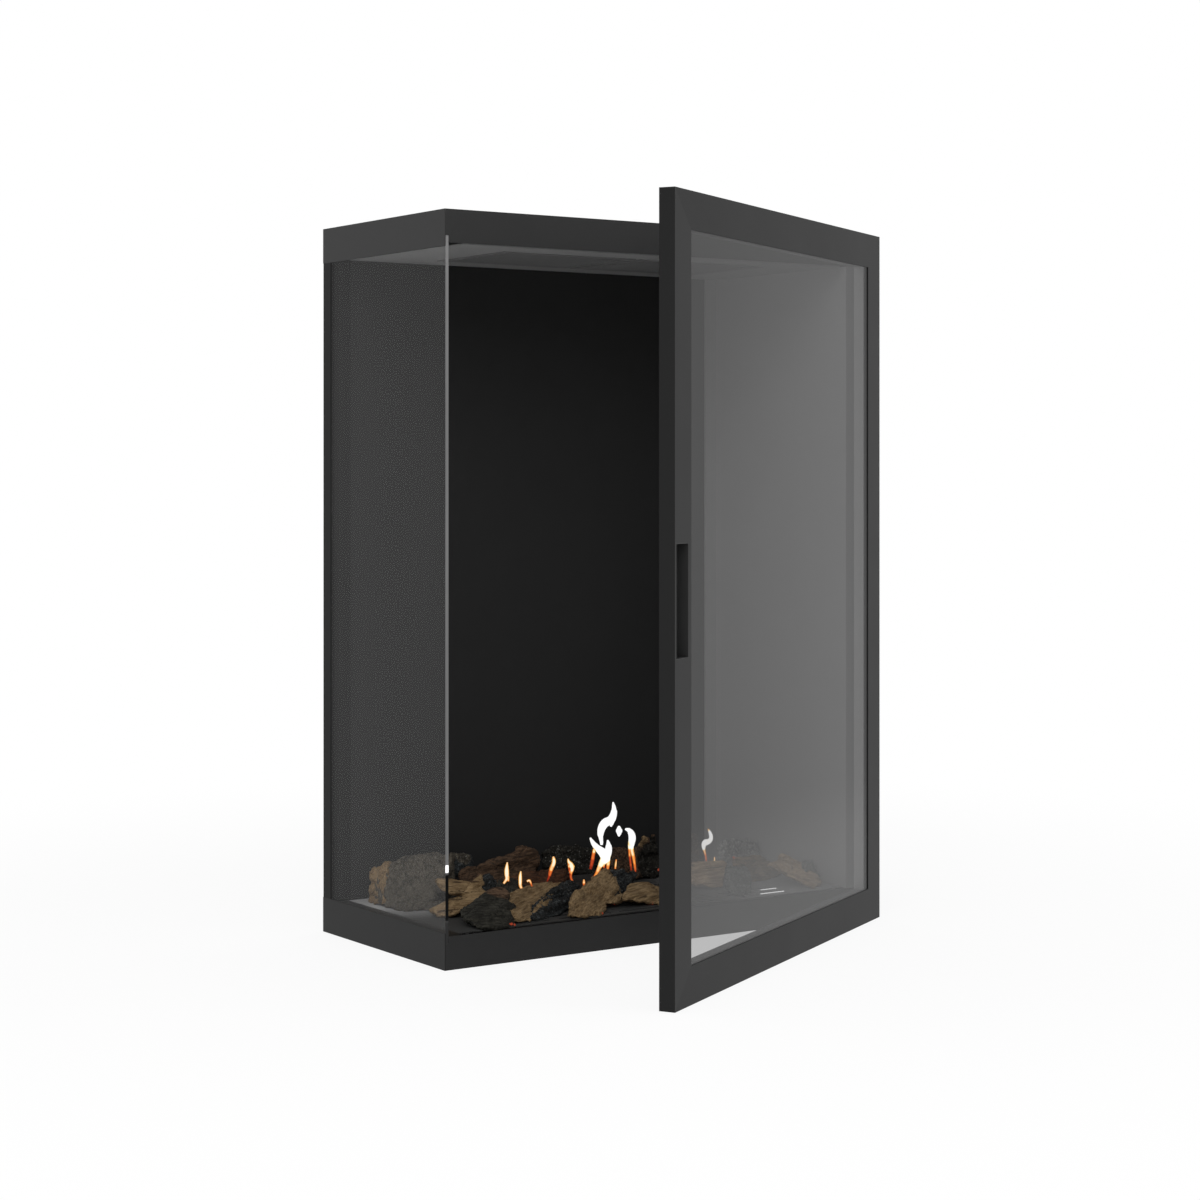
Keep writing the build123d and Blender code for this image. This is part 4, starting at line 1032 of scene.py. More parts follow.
@dataclass(frozen=True)
class Door:
    """The glazed door: its frame, pull recess, pane, beads, seal and hinge fittings."""

    # A slightly darker copy of the charcoal coat for the hinge stile and rails: painted shade; the free
    # stile keeps the casing's coat.
    coat: PowderCoat = PowderCoat(colour=0.0105, gloss=0.105)
    recess: PowderCoat = PowderCoat(colour=0.03, gloss=0.2, roughness=0.55)
    bead: MetalFinish = MetalFinish(grey(0.24), grey(0.17), 0.45)
    bush: MetalFinish = MetalFinish((0.62, 0.42, 0.2), (0.4, 0.27, 0.13), 0.35)
    # The door pane carries a strong white glow and a pale film at its foot: painted reflection, the film
    # partly dusty haze.
    glass: PaneGlass = PaneGlass(0.09, 0.4, 0.7, edge_seen=0.0, dust_and_reflection=0.03)
    fibre: FibreFinish = FibreFinish((0.1, 0.1, 0.095), (0.04, 0.04, 0.038), 700.0, 0.0004)
    frame_nodes: tuple[str, ...] = ("door_stile_hinge", "door_rail_bottom", "door_rail_top")

    def paint(self, nodes: dict[str, bpy.types.Object]) -> None:
        """Give the door's solids their finishes; two of them are the casing's.

        Args:
            nodes: The frame's solids by name.
        """
        finishes = {
            bpy.data.materials["charcoal_powder_coat"]: ("door_stile_free",),
            bpy.data.materials["zinc_plate"]: ("door_bead_screws", "magnet_keepers"),
            self.coat.make("shaded_door_powder_coat"): self.frame_nodes,
            self.bead.make("satin_bead_metal"): ("door_glass_beads",),
            self.recess.make("pull_recess_black"): ("pull_cup",),
            self.glass.make("door_pane_glass"): ("door_glass",),
            self.fibre.make("woven_door_seal"): ("door_seal",),
            self.fibre.make("glazing_tape"): ("door_glass_tape",),
            self.bush.make("bronze_bush"): ("hinge_bushes",),
        }
        for finish, names in finishes.items():
            for name in names:
                dress(nodes[name], finish)
            log.info("%s: %s", finish.name, ", ".join(names))


@dataclass(frozen=True)
class Spot:
    """A place on a log, in casing millimetres, and how far its effect reaches; unset, it is far off."""

    x: float = 0.0
    y: float = 0.0
    z: float = -500.0
    reach: float = 1.0

    def place(self) -> Point:
        """Give the place in metres."""
        return tuple(in_casing(self.x, self.y, self.z))


@dataclass(frozen=True)
class Chunk:
    """One split chunk of a log: how thick it is, its paint, and its corners as seen from the front.

    The copies of the corners at its back lean away by the line of sight of the camera, so the chunk
    keeps its outline in the picture whatever its thickness.
    """

    thick: float
    side: Side
    corners: tuple[Point, ...]
    lean: float = 0.66
    drop: float = 0.19
    shrink: float = 0.92

    def _places(self) -> list[Point]:
        """Give the corners and their copies at the back, kept over the floor and off the liners."""
        count = len(self.corners)
        middle = [sum(corner[axis] for corner in self.corners) / count for axis in range(3)]
        places = []
        for x, y, z in self.corners:
            places.append((x, y, max(z, HEARTH_Z)))
            back_x = middle[0] + (x - middle[0]) * self.shrink + self.lean * self.thick
            back_y = middle[1] + (y - middle[1]) * self.shrink + self.thick
            back_z = middle[2] + (z - middle[2]) * self.shrink - self.drop * self.thick
            back_x = min(back_x, RIGHT_LINER_X - RIGHT_LINER_GAP)
            back_y = min(back_y, REAR_LINER_Y - REAR_LINER_GAP)
            places.append((back_x, back_y, max(back_z, HEARTH_Z)))
        return places

    def hull(self, mesh: bmesh.types.BMesh) -> None:
        """Add the chunk to a mesh as a hull whose faces carry the paint that they take.

        Args:
            mesh: The log's mesh in the making.
        """
        layers = mesh.faces.layers.float
        sides = (Side.CUT, Side.BURNT)
        paints = {side: layers.get(side.value) or layers.new(side.value) for side in sides}
        verts = [mesh.verts.new(in_casing(*place)) for place in self._places()]
        made = bmesh.ops.convex_hull(mesh, input=verts)
        for face in made["geom"]:
            if isinstance(face, bmesh.types.BMFace):
                for side, paint in paints.items():
                    face[paint] = float(self.side is side)
        spare = made["geom_interior"] + made["geom_unused"]
        loose = {vert for vert in spare if isinstance(vert, bmesh.types.BMVert)}
        bmesh.ops.delete(mesh, geom=list(loose), context="VERTS")


@dataclass(frozen=True)
class Carving:
    """How every log is carved. Cells and noise are in waves a metre, and a wobble in millimetres.

    The shares say how much of a log's own lump, fibre or crackle each kind of relief takes.
    """

    spots: int = 3
    spot_edge: float = 1.5
    wobble: float = 1.6
    wobbling: Noise = Noise(110.0, 4.0, 0.65)
    seed_step: Point = (3.7, 0.3, 0.7)
    lump: Noise = Noise(24.0)
    lump_share: float = 0.7
    ledge: Grain = Grain((9.0, 62.0, 62.0), 1.0)
    ledge_steps: tuple[Span, Span] = ((0.435, 0.45), (0.53, 0.545))
    ledge_share: float = 1.3
    chip_stretch: Point = (30.0, 62.0, 62.0)
    fibre: Grain = Grain((18.0, 210.0, 210.0), 3.0, 0.65)
    fibre_share: float = 2.2
    ridge: Grain = Grain((8.0, 110.0, 110.0))
    ridge_share: float = 1.6
    burnt_smoother: float = 0.4
    bark_stretch: Point = (13.0, 80.0, 80.0)
    bark_gap: Span = (0.10, 0.0)
    bark_share: float = 0.7
    char_cells: float = 105.0
    char_gap: Span = (0.22, 0.0)
    char_share: float = 0.8
    grit: Noise = Noise(210.0, 4.0, 0.75)
    grit_shares: Span = (0.8, 1.7)
    cut_shade: float = 1.2

    def _near(self, bench: ShapeBench, where: Wire, kind: str) -> Wire:
        """Give how near a point is to any of the spots of one kind, from 0 to 1."""
        best: Optional[Wire] = None
        for number in range(self.spots):
            gap = bench.vector("DISTANCE", where, bench.given(f"{kind} {number}"), output="Value")
            here = self.spot_edge - gap / bench.given(f"{kind} reach {number}")
            best = here if best is None else best.above(here)
        return best.above(0.0).below(1.0)

    def _strayed(self, bench: ShapeBench, where: Wire) -> Wire:
        """Give a place moved a little at random, so that what is read there has a ragged border."""
        kind = self.wobbling
        inputs = {"Vector": where, "Scale": kind.scale, "Detail": kind.detail, "Roughness": kind.roughness}
        stray = bench.add("ShaderNodeTexNoise", {}, inputs, "Color")
        stray = bench.vector("SUBTRACT", stray, grey(0.5))
        return bench.vector("ADD", where, bench.scaled(stray, bench.given("Wobble") * 4.0))

    def _inputs(self) -> dict[str, Any]:
        """Give the tree's named inputs with their defaults."""
        inputs: dict[str, Any] = {"Marks": "NodeSocketObject", "Wobble": self.wobble * MM}
        inputs |= {"Heading": 0.0, "Fibre": MM, "Crackle": MM, "Lump": MM, "Seed": 0.0}
        for number in range(self.spots):
            for kind in ("Cut", "Burn"):
                inputs[f"{kind} {number}"] = (0.0, 0.0, Spot.z * MM)
                inputs[f"{kind} reach {number}"] = Spot.reach * MM
        return inputs

    def tree(self) -> ShapeBench:
        """Build the tree that carves fibres, cracks and lumps into a log and marks its faces.

        Returns:
            The tree, whose inputs are a log's grain, depths, seed and places.
        """
        bench = ShapeBench("log_relief", **self._inputs())
        where = bench.add("GeometryNodeInputPosition")
        chunks = bench.add("GeometryNodeObjectInfo", {}, {"Object": bench.given("Marks")}, "Geometry")
        strayed = self._strayed(bench, where)
        cut = self._near(bench, where, "Cut").above(bench.nearest(chunks, Side.CUT.value, strayed))
        burnt = self._near(bench, where, "Burn").above(bench.nearest(chunks, Side.BURNT.value, strayed))
        step, share_y, share_z = self.seed_step
        offset = bench.given("Seed") * step
        offsets = {0: offset, 1: offset * share_y, 2: offset * share_z}
        where = bench.vector("ADD", where, bench.add("ShaderNodeCombineXYZ", {}, offsets))
        heading = bench.given("Heading")
        lump = bench.noise(where, self.lump) - 0.5
        ledge = bench.grain(where, heading, self.ledge)
        first, second = self.ledge_steps
        ledge = 0.5 * ledge.ramp(*first) + 0.5 * ledge.ramp(*second) - 0.5
        chip = bench.cells(bench.turned(where, heading, self.chip_stretch), 1.0, "F1") - 0.5
        fibre = bench.grain(where, heading, self.fibre) - 0.5
        ridge = bench.grain(where, heading, self.ridge) - 0.5
        grit = bench.noise(where, self.grit) - 0.5
        bark = bench.cells(bench.turned(where, heading, self.bark_stretch), 1.0)
        bark = bark.ramp(*self.bark_gap) * self.bark_share * (1 - cut) * (1 - burnt)
        char = bench.cells(where, self.char_cells).ramp(*self.char_gap) * burnt * self.char_share
        # hollow marks the carved cracks, which the finish darkens: partly char, partly painted shade.
        hollow = bark.above(char)
        rise = bench.given("Lump") * (self.lump_share * lump + self.ledge_share * ledge + chip)
        drawn = self.fibre_share * fibre + self.ridge_share * ridge
        rise = rise + bench.given("Fibre") * drawn * (1 - self.burnt_smoother * burnt)
        rise = rise - bench.given("Crackle") * hollow
        rise = rise + bench.given("Crackle") * grit * burnt.between(*self.grit_shares)
        shaped = bench.push(bench.given("Geometry"), rise)
        shaped = bench.keep(shaped, Side.CUT.value, cut)
        shaped = bench.keep(shaped, Side.BURNT.value, burnt)
        bench.close(bench.keep(shaped, "hollow", (hollow - self.cut_shade * fibre * cut).above(0.0)))
        return bench


@dataclass(frozen=True)
class FireLog:
    """One ceramic log: its chunks, where else it is cut and burnt, and its relief in millimetres."""

    name: str
    finish: LogFinish
    chunks: tuple[Chunk, ...]
    cut: tuple[Spot, ...] = ()
    burnt: tuple[Spot, ...] = ()
    replaces: str = ""
    grain: float = 1.5
    fibre: float = 1.5
    crackle: float = 2.2
    lump: float = 3.8

    def _spots(self, count: int) -> dict[str, Any]:
        """Give the carving tree its places and reaches.

        Args:
            count: How many spots of each kind the tree takes.

        Returns:
            The values by the tree's input names.
        """
        values: dict[str, Any] = {}
        for kind, given in (("Cut", self.cut), ("Burn", self.burnt)):
            for number, spot in enumerate((*given, *[Spot()] * count)[:count]):
                values[f"{kind} {number}"] = spot.place()
                values[f"{kind} reach {number}"] = spot.reach * MM
        return values

    def carve(self, relief: ShapeBench, spots: int, seed: int) -> bpy.types.Object:
        """Join the chunks and turn them into a rough, cracked and fibrous log.

        Args:
            relief: The tree that carves a log.
            spots: How many spots of each kind the tree takes.
            seed: The log's own number for its lumps.

        Returns:
            The finished piece, riding on the casing.
        """
        mesh = bmesh.new()
        for chunk in self.chunks:
            chunk.hull(mesh)
        draft = drafted(self.name + "_solid", mesh)
        marks = linked(bpy.data.objects.new(self.name + "_marks", draft.data.copy()))
        even = draft.modifiers.new("even", "REMESH")
        even.mode = "VOXEL"
        even.voxel_size = self.grain * MM
        relief.shape(
            draft,
            self.finish.make(self.name + "_finish"),
            Heading=math.radians(-self.finish.heading),
            Fibre=self.fibre * MM,
            Crackle=self.crackle * MM,
            Lump=self.lump * MM,
            Seed=float(seed),
            Marks=marks,
            **self._spots(spots),
        )
        piece = plain_mesh(draft, self.name + "_ceramic")
        bpy.data.objects.remove(marks)
        smooth(piece)
        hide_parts(self.replaces or self.name)
        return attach(piece, Body.CASING.value)


@dataclass(frozen=True)
class LogBed:
    """The fire logs and offcuts as they lie on the hearth floor, with corners in casing millimetres."""

    carving: Carving = Carving()
    logs: tuple[FireLog, ...] = (
        FireLog(
            "log_left_split",
            LogFinish(Wood.ASH, Wood.SPLIT, Wood.BARK, heading=50.0, specks=0.4),
            (
                Chunk(60.0, Side.MAIN, (
                    (63, 306, 96), (67, 268, 106), (86, 250, 116), (119, 215, 123), (137, 205, 122),
                    (59, 306, 47), (44, 258, 49), (53, 205, 47), (87, 190, 47), (128, 195, 50),
                )),
                Chunk(44.0, Side.CUT, (
                    (53, 306, 99), (66, 272, 109), (58, 264, 79), (43, 258, 47), (49, 306, 47),
                )),
                Chunk(50.0, Side.MAIN, (
                    (67, 268, 109), (86, 250, 119), (119, 215, 126), (134, 205, 126), (130, 205, 118),
                    (115, 215, 115), (86, 250, 107), (69, 262, 99),
                )),
            ),
        ),
        FireLog(
            "log_corner_tan",
            LogFinish(Wood.SPLIT, Wood.SPLIT, Wood.CHAR, heading=-24.0, specks=0.1, lines=0.8),
            (
                Chunk(22.0, Side.MAIN, (
                    (84, 170, 96), (101, 165, 92), (139, 150, 87), (114, 138, 75), (93, 150, 78),
                )),
                Chunk(18.0, Side.MAIN, (
                    (132, 150, 85), (152, 152, 99), (160, 148, 93), (144, 136, 80), (114, 138, 77),
                )),
                Chunk(24.0, Side.MAIN, (
                    (65, 150, 56), (89, 150, 63), (114, 138, 74), (138, 130, 83), (143, 120, 75),
                    (113, 116, 64), (83, 118, 52), (68, 132, 50),
                )),
            ),
            cut=(Spot(90, 150, 75, 90),),
            burnt=(Spot(170, 138, 82, 21),),
        ),
        FireLog(
            "log_front_charred",
            LogFinish(Wood.OLIVE, Wood.BARK, Wood.CHAR, heading=-22.0, specks=0.12),
            (
                Chunk(34.0, Side.MAIN, (
                    (64, 60, 60), (73, 78, 65), (93, 75, 75), (110, 72, 86), (131, 74, 93),
                    (142, 72, 89), (138, 60, 77), (143, 46, 67), (134, 32, 55), (121, 20, 47),
                    (98, 12, 47), (73, 12, 49), (61, 30, 53),
                )),
            ),
            cut=(Spot(132, 72, 92, 20),),
        ),
        FireLog(
            "log_back_bark",
            LogFinish(Wood.BARK, Wood.SPLIT, Wood.SOOT, heading=24.0, specks=0.12),
            (
                Chunk(36.0, Side.MAIN, (
                    (140, 200, 95), (166, 212, 101), (182, 216, 98), (182, 200, 74), (166, 195, 73),
                    (142, 196, 84),
                )),
                Chunk(38.0, Side.MAIN, (
                    (176, 212, 97), (212, 228, 105), (232, 232, 107), (254, 240, 103), (260, 215, 64),
                    (182, 198, 74),
                )),
                Chunk(36.0, Side.MAIN, (
                    (245, 240, 102), (255, 245, 111), (284, 253, 113), (313, 250, 71), (266, 225, 65),
                    (236, 225, 71),
                )),
                Chunk(34.0, Side.MAIN, (
                    (270, 250, 108), (274, 250, 118), (297, 256, 119), (308, 261, 112),
                    (319, 262, 108), (323, 262, 95), (313, 250, 71), (276, 240, 80),
                )),
            ),
        ),
        FireLog(
            "log_middle_long",
            LogFinish(Wood.RUSSET, Wood.SPLIT, Wood.SOOT, heading=12.0, specks=0.08),
            (
                Chunk(26.0, Side.MAIN, (
                    (207, 165, 85), (241, 182, 90), (263, 192, 90), (295, 205, 88), (347, 220, 81),
                    (351, 215, 69), (319, 188, 62), (251, 156, 64), (206, 152, 69),
                )),
            ),
            burnt=(Spot(210, 155, 62, 24),),
        ),
        FireLog(
            "log_front_tan",
            LogFinish(Wood.SPLIT, Wood.SPLIT, Wood.CHAR, heading=34.0, specks=0.35, lines=0.25),
            (
                Chunk(26.0, Side.CUT, (
                    (147, 82, 78), (150, 84, 80), (169, 92, 78), (201, 106, 78), (236, 127, 81),
                    (284, 142, 77), (225, 84, 65), (181, 50, 57), (160, 32, 48), (132, 28, 50),
                    (130, 30, 57), (134, 40, 66), (139, 60, 72),
                )),
                Chunk(26.0, Side.BURNT, (
                    (276, 140, 74), (298, 146, 76), (321, 150, 72), (325, 146, 67), (302, 125, 62),
                    (288, 105, 54), (265, 85, 50), (245, 70, 47), (229, 55, 47), (196, 42, 47),
                    (171, 32, 47), (162, 36, 52), (177, 52, 62), (222, 86, 71),
                )),
            ),
        ),
        FireLog(
            "log_centre_split",
            LogFinish(Wood.SPLIT, Wood.SPLIT, Wood.CHAR, heading=42.0, specks=0.35, lines=0.25),
            (
                Chunk(26.0, Side.CUT, (
                    (272, 80, 73), (258, 58, 77), (242, 44, 70), (226, 30, 64), (217, 18, 58),
                    (217, 13, 52), (223, 13, 49), (240, 15, 47), (252, 19, 47), (274, 18, 47),
                    (284, 27, 47), (297, 42, 52), (306, 49, 54), (312, 75, 68),
                )),
                Chunk(24.0, Side.CUT, (
                    (270, 76, 71), (300, 95, 83), (318, 103, 90), (343, 112, 96), (354, 112, 93),
                    (346, 88, 74), (352, 75, 61), (347, 68, 56), (331, 60, 55), (299, 46, 54),
                    (272, 48, 57),
                )),
                Chunk(22.0, Side.BURNT, (
                    (350, 113, 91), (362, 116, 91), (380, 122, 91), (402, 126, 83), (418, 132, 82),
                    (417, 130, 79), (394, 115, 73), (374, 98, 63), (351, 80, 58), (336, 70, 57),
                    (335, 84, 70),
                )),
            ),
        ),
        FireLog(
            "log_back_charred",
            LogFinish(Wood.SOOT, Wood.BARK, Wood.SOOT, heading=0.0, specks=0.6),
            (
                Chunk(22.0, Side.MAIN, (
                    (335, 270, 87), (337, 272, 99), (351, 275, 102), (363, 282, 106), (380, 285, 105),
                    (414, 290, 103), (440, 292, 98), (450, 290, 93), (437, 270, 60), (339, 268, 69),
                )),
            ),
            burnt=(Spot(395, 285, 90, 60),),
        ),
        FireLog(
            "log_right_tan",
            LogFinish(Wood.SPLIT, Wood.SPLIT, Wood.CHAR, heading=20.0, specks=0.1, lines=0.8),
            (
                Chunk(34.0, Side.MAIN, (
                    (347, 62, 68), (370, 80, 73), (389, 92, 73), (415, 98, 70), (412, 85, 63),
                    (427, 80, 58), (446, 78, 49), (424, 48, 47), (400, 42, 47), (376, 42, 50),
                    (357, 46, 57), (334, 50, 61),
                )),
            ),
            cut=(Spot(400, 70, 60, 90),),
        ),
        FireLog(
            "log_right_bark",
            LogFinish(Wood.BARK, Wood.SPLIT, Wood.SOOT, heading=86.0, specks=0.2),
            (
                Chunk(32.0, Side.MAIN, (
                    (453, 254, 101), (476, 255, 95), (498, 258, 91), (549, 264, 85), (563, 262, 68),
                    (549, 242, 48), (501, 240, 51), (447, 240, 60),
                )),
                Chunk(14.0, Side.MAIN, (
                    (499, 255, 88), (512, 257, 105), (521, 259, 112), (531, 259, 109), (535, 258, 96),
                    (529, 256, 84),
                )),
                Chunk(9.0, Side.MAIN, (
                    (529, 256, 86), (534, 257, 103), (536, 257, 114), (544, 257, 112), (546, 257, 97),
                    (543, 256, 83),
                )),
            ),
            cut=(Spot(516, 257, 108, 12),),
            burnt=(Spot(540, 250, 66, 40), Spot(540, 257, 104, 9),),
        ),
        FireLog(
            "log_behind_door",
            LogFinish(Wood.LIT_SPLIT, Wood.LIT_SPLIT, Wood.CHAR, heading=6.0, specks=0.1, lines=0.7),
            (
                Chunk(36.0, Side.MAIN, (
                    (510, 130, 86), (587, 138, 82), (592, 136, 78), (590, 130, 73), (561, 100, 49),
                    (536, 98, 51), (526, 102, 55), (507, 125, 60),
                )),
            ),
            cut=(Spot(550, 120, 70, 90),),
        ),
        FireLog(
            "log_leaning",
            LogFinish(Wood.LIT_SPLIT, Wood.LIT_SPLIT, Wood.CHAR, heading=-62.0, specks=0.1, lines=0.5),
            (
                Chunk(22.0, Side.MAIN, (
                    (651, 82, 80), (672, 96, 92), (681, 92, 87), (688, 88, 82), (670, 46, 57),
                    (660, 54, 63), (651, 70, 72),
                )),
                Chunk(22.0, Side.MAIN, (
                    (682, 90, 83), (699, 80, 80), (698, 68, 69), (675, 34, 52), (665, 42, 58),
                    (656, 60, 65),
                )),
                Chunk(22.0, Side.MAIN, (
                    (694, 70, 73), (706, 50, 66), (702, 36, 56), (692, 28, 49), (677, 22, 48),
                    (667, 34, 54),
                )),
                Chunk(8.0, Side.MAIN, (
                    (644, 98, 77), (664, 90, 83), (655, 66, 69), (652, 78, 71),
                )),
            ),
            cut=(Spot(684, 66, 80, 110),),
        ),
        FireLog(
            "offcut_ash",
            LogFinish(Wood.CHAR, Wood.BARK, Wood.ASH, heading=20.0, specks=0.7),
            (
                Chunk(28.0, Side.MAIN, (
                    (149, 246, 112), (158, 240, 118), (186, 240, 113), (188, 236, 106), (180, 226, 94),
                    (161, 222, 89), (138, 226, 86),
                )),
            ),
            burnt=(Spot(172, 240, 116, 16),),
            replaces="log_offcuts",
        ),
        FireLog(
            "offcut_upright",
            LogFinish(Wood.BARK, Wood.SPLIT, Wood.SOOT, heading=0.0, specks=0.2),
            (
                Chunk(16.0, Side.MAIN, (
                    (602, 250, 104), (611, 252, 109), (623, 254, 107), (627, 254, 90), (615, 238, 56),
                    (593, 238, 58),
                )),
            ),
            replaces="log_offcuts",
        ),
        FireLog(
            "offcut_crackled",
            LogFinish(Wood.PALE, Wood.BARK, Wood.PALE, heading=80.0, specks=0.3),
            (
                Chunk(36.0, Side.MAIN, (
                    (552, 80, 85), (592, 84, 80), (598, 78, 68), (569, 40, 47), (543, 26, 47),
                    (526, 32, 52), (526, 46, 59),
                )),
            ),
            burnt=(Spot(560, 60, 70, 60),),
            replaces="log_offcuts",
        ),
        FireLog(
            "offcut_grey",
            LogFinish(Wood.WHITE, Wood.BARK, Wood.WHITE, heading=10.0, specks=0.3),
            (
                Chunk(26.0, Side.MAIN, (
                    (624, 196, 90), (639, 200, 104), (661, 203, 105), (684, 206, 100), (713, 210, 92),
                    (717, 210, 72), (702, 196, 51), (645, 182, 58), (614, 180, 64),
                )),
            ),
            burnt=(Spot(666, 204, 98, 50),),
            replaces="log_offcuts",
        ),
        FireLog(
            "offcut_brown",
            LogFinish(Wood.SPLIT, Wood.SPLIT, Wood.SOOT, heading=4.0, specks=0.2),
            (
                Chunk(30.0, Side.MAIN, (
                    (620, 152, 82), (676, 162, 79), (714, 166, 68), (719, 162, 59), (701, 140, 47),
                    (664, 128, 47), (621, 124, 49), (602, 128, 60),
                )),
            ),
            replaces="log_offcuts",
        ),
        FireLog(
            "offcut_small",
            LogFinish(Wood.PALE, Wood.BARK, Wood.PALE, heading=30.0, specks=0.2),
            (
                Chunk(16.0, Side.MAIN, (
                    (694, 70, 81), (703, 71, 84), (716, 68, 79), (719, 64, 73), (713, 54, 61),
                    (685, 52, 61),
                )),
            ),
            replaces="log_offcuts",
        ),
        FireLog(
            "offcut_tip",
            LogFinish(Wood.CHAR, Wood.SPLIT, Wood.CHAR, heading=40.0, specks=0.3),
            (
                Chunk(20.0, Side.MAIN, (
                    (155, 152, 96), (167, 152, 97), (176, 146, 90), (174, 138, 78), (150, 124, 71),
                    (142, 128, 72), (145, 140, 85),
                )),
            ),
            burnt=(Spot(165, 140, 85, 40),),
            replaces="log_offcuts",
        ),
        FireLog(
            "offcut_soot",
            LogFinish(Wood.OLIVE, Wood.BARK, Wood.SOOT, heading=60.0, specks=0.12),
            (
                Chunk(24.0, Side.MAIN, (
                    (161, 122, 92), (181, 132, 95), (202, 138, 89), (217, 136, 78), (199, 108, 68),
                    (161, 92, 70), (148, 98, 76),
                )),
            ),
            replaces="log_offcuts",
        ),
    )

    def build(self) -> list[bpy.types.Object]:
        """Carve every log.

        Returns:
            The finished logs.
        """
        relief = self.carving.tree()
        pieces = []
        for number, one in enumerate(self.logs, 1):
            pieces.append(one.carve(relief, self.carving.spots, number))
            log.info("log %s: %d faces", pieces[-1].name, len(pieces[-1].data.polygons))
        return pieces


@dataclass(frozen=True)
class Tongue:
    """One tongue of flame: its depth, and x, z, half width and heat along it, in millimetres."""

    depth: float
    line: tuple[tuple[float, float, float, float], ...]


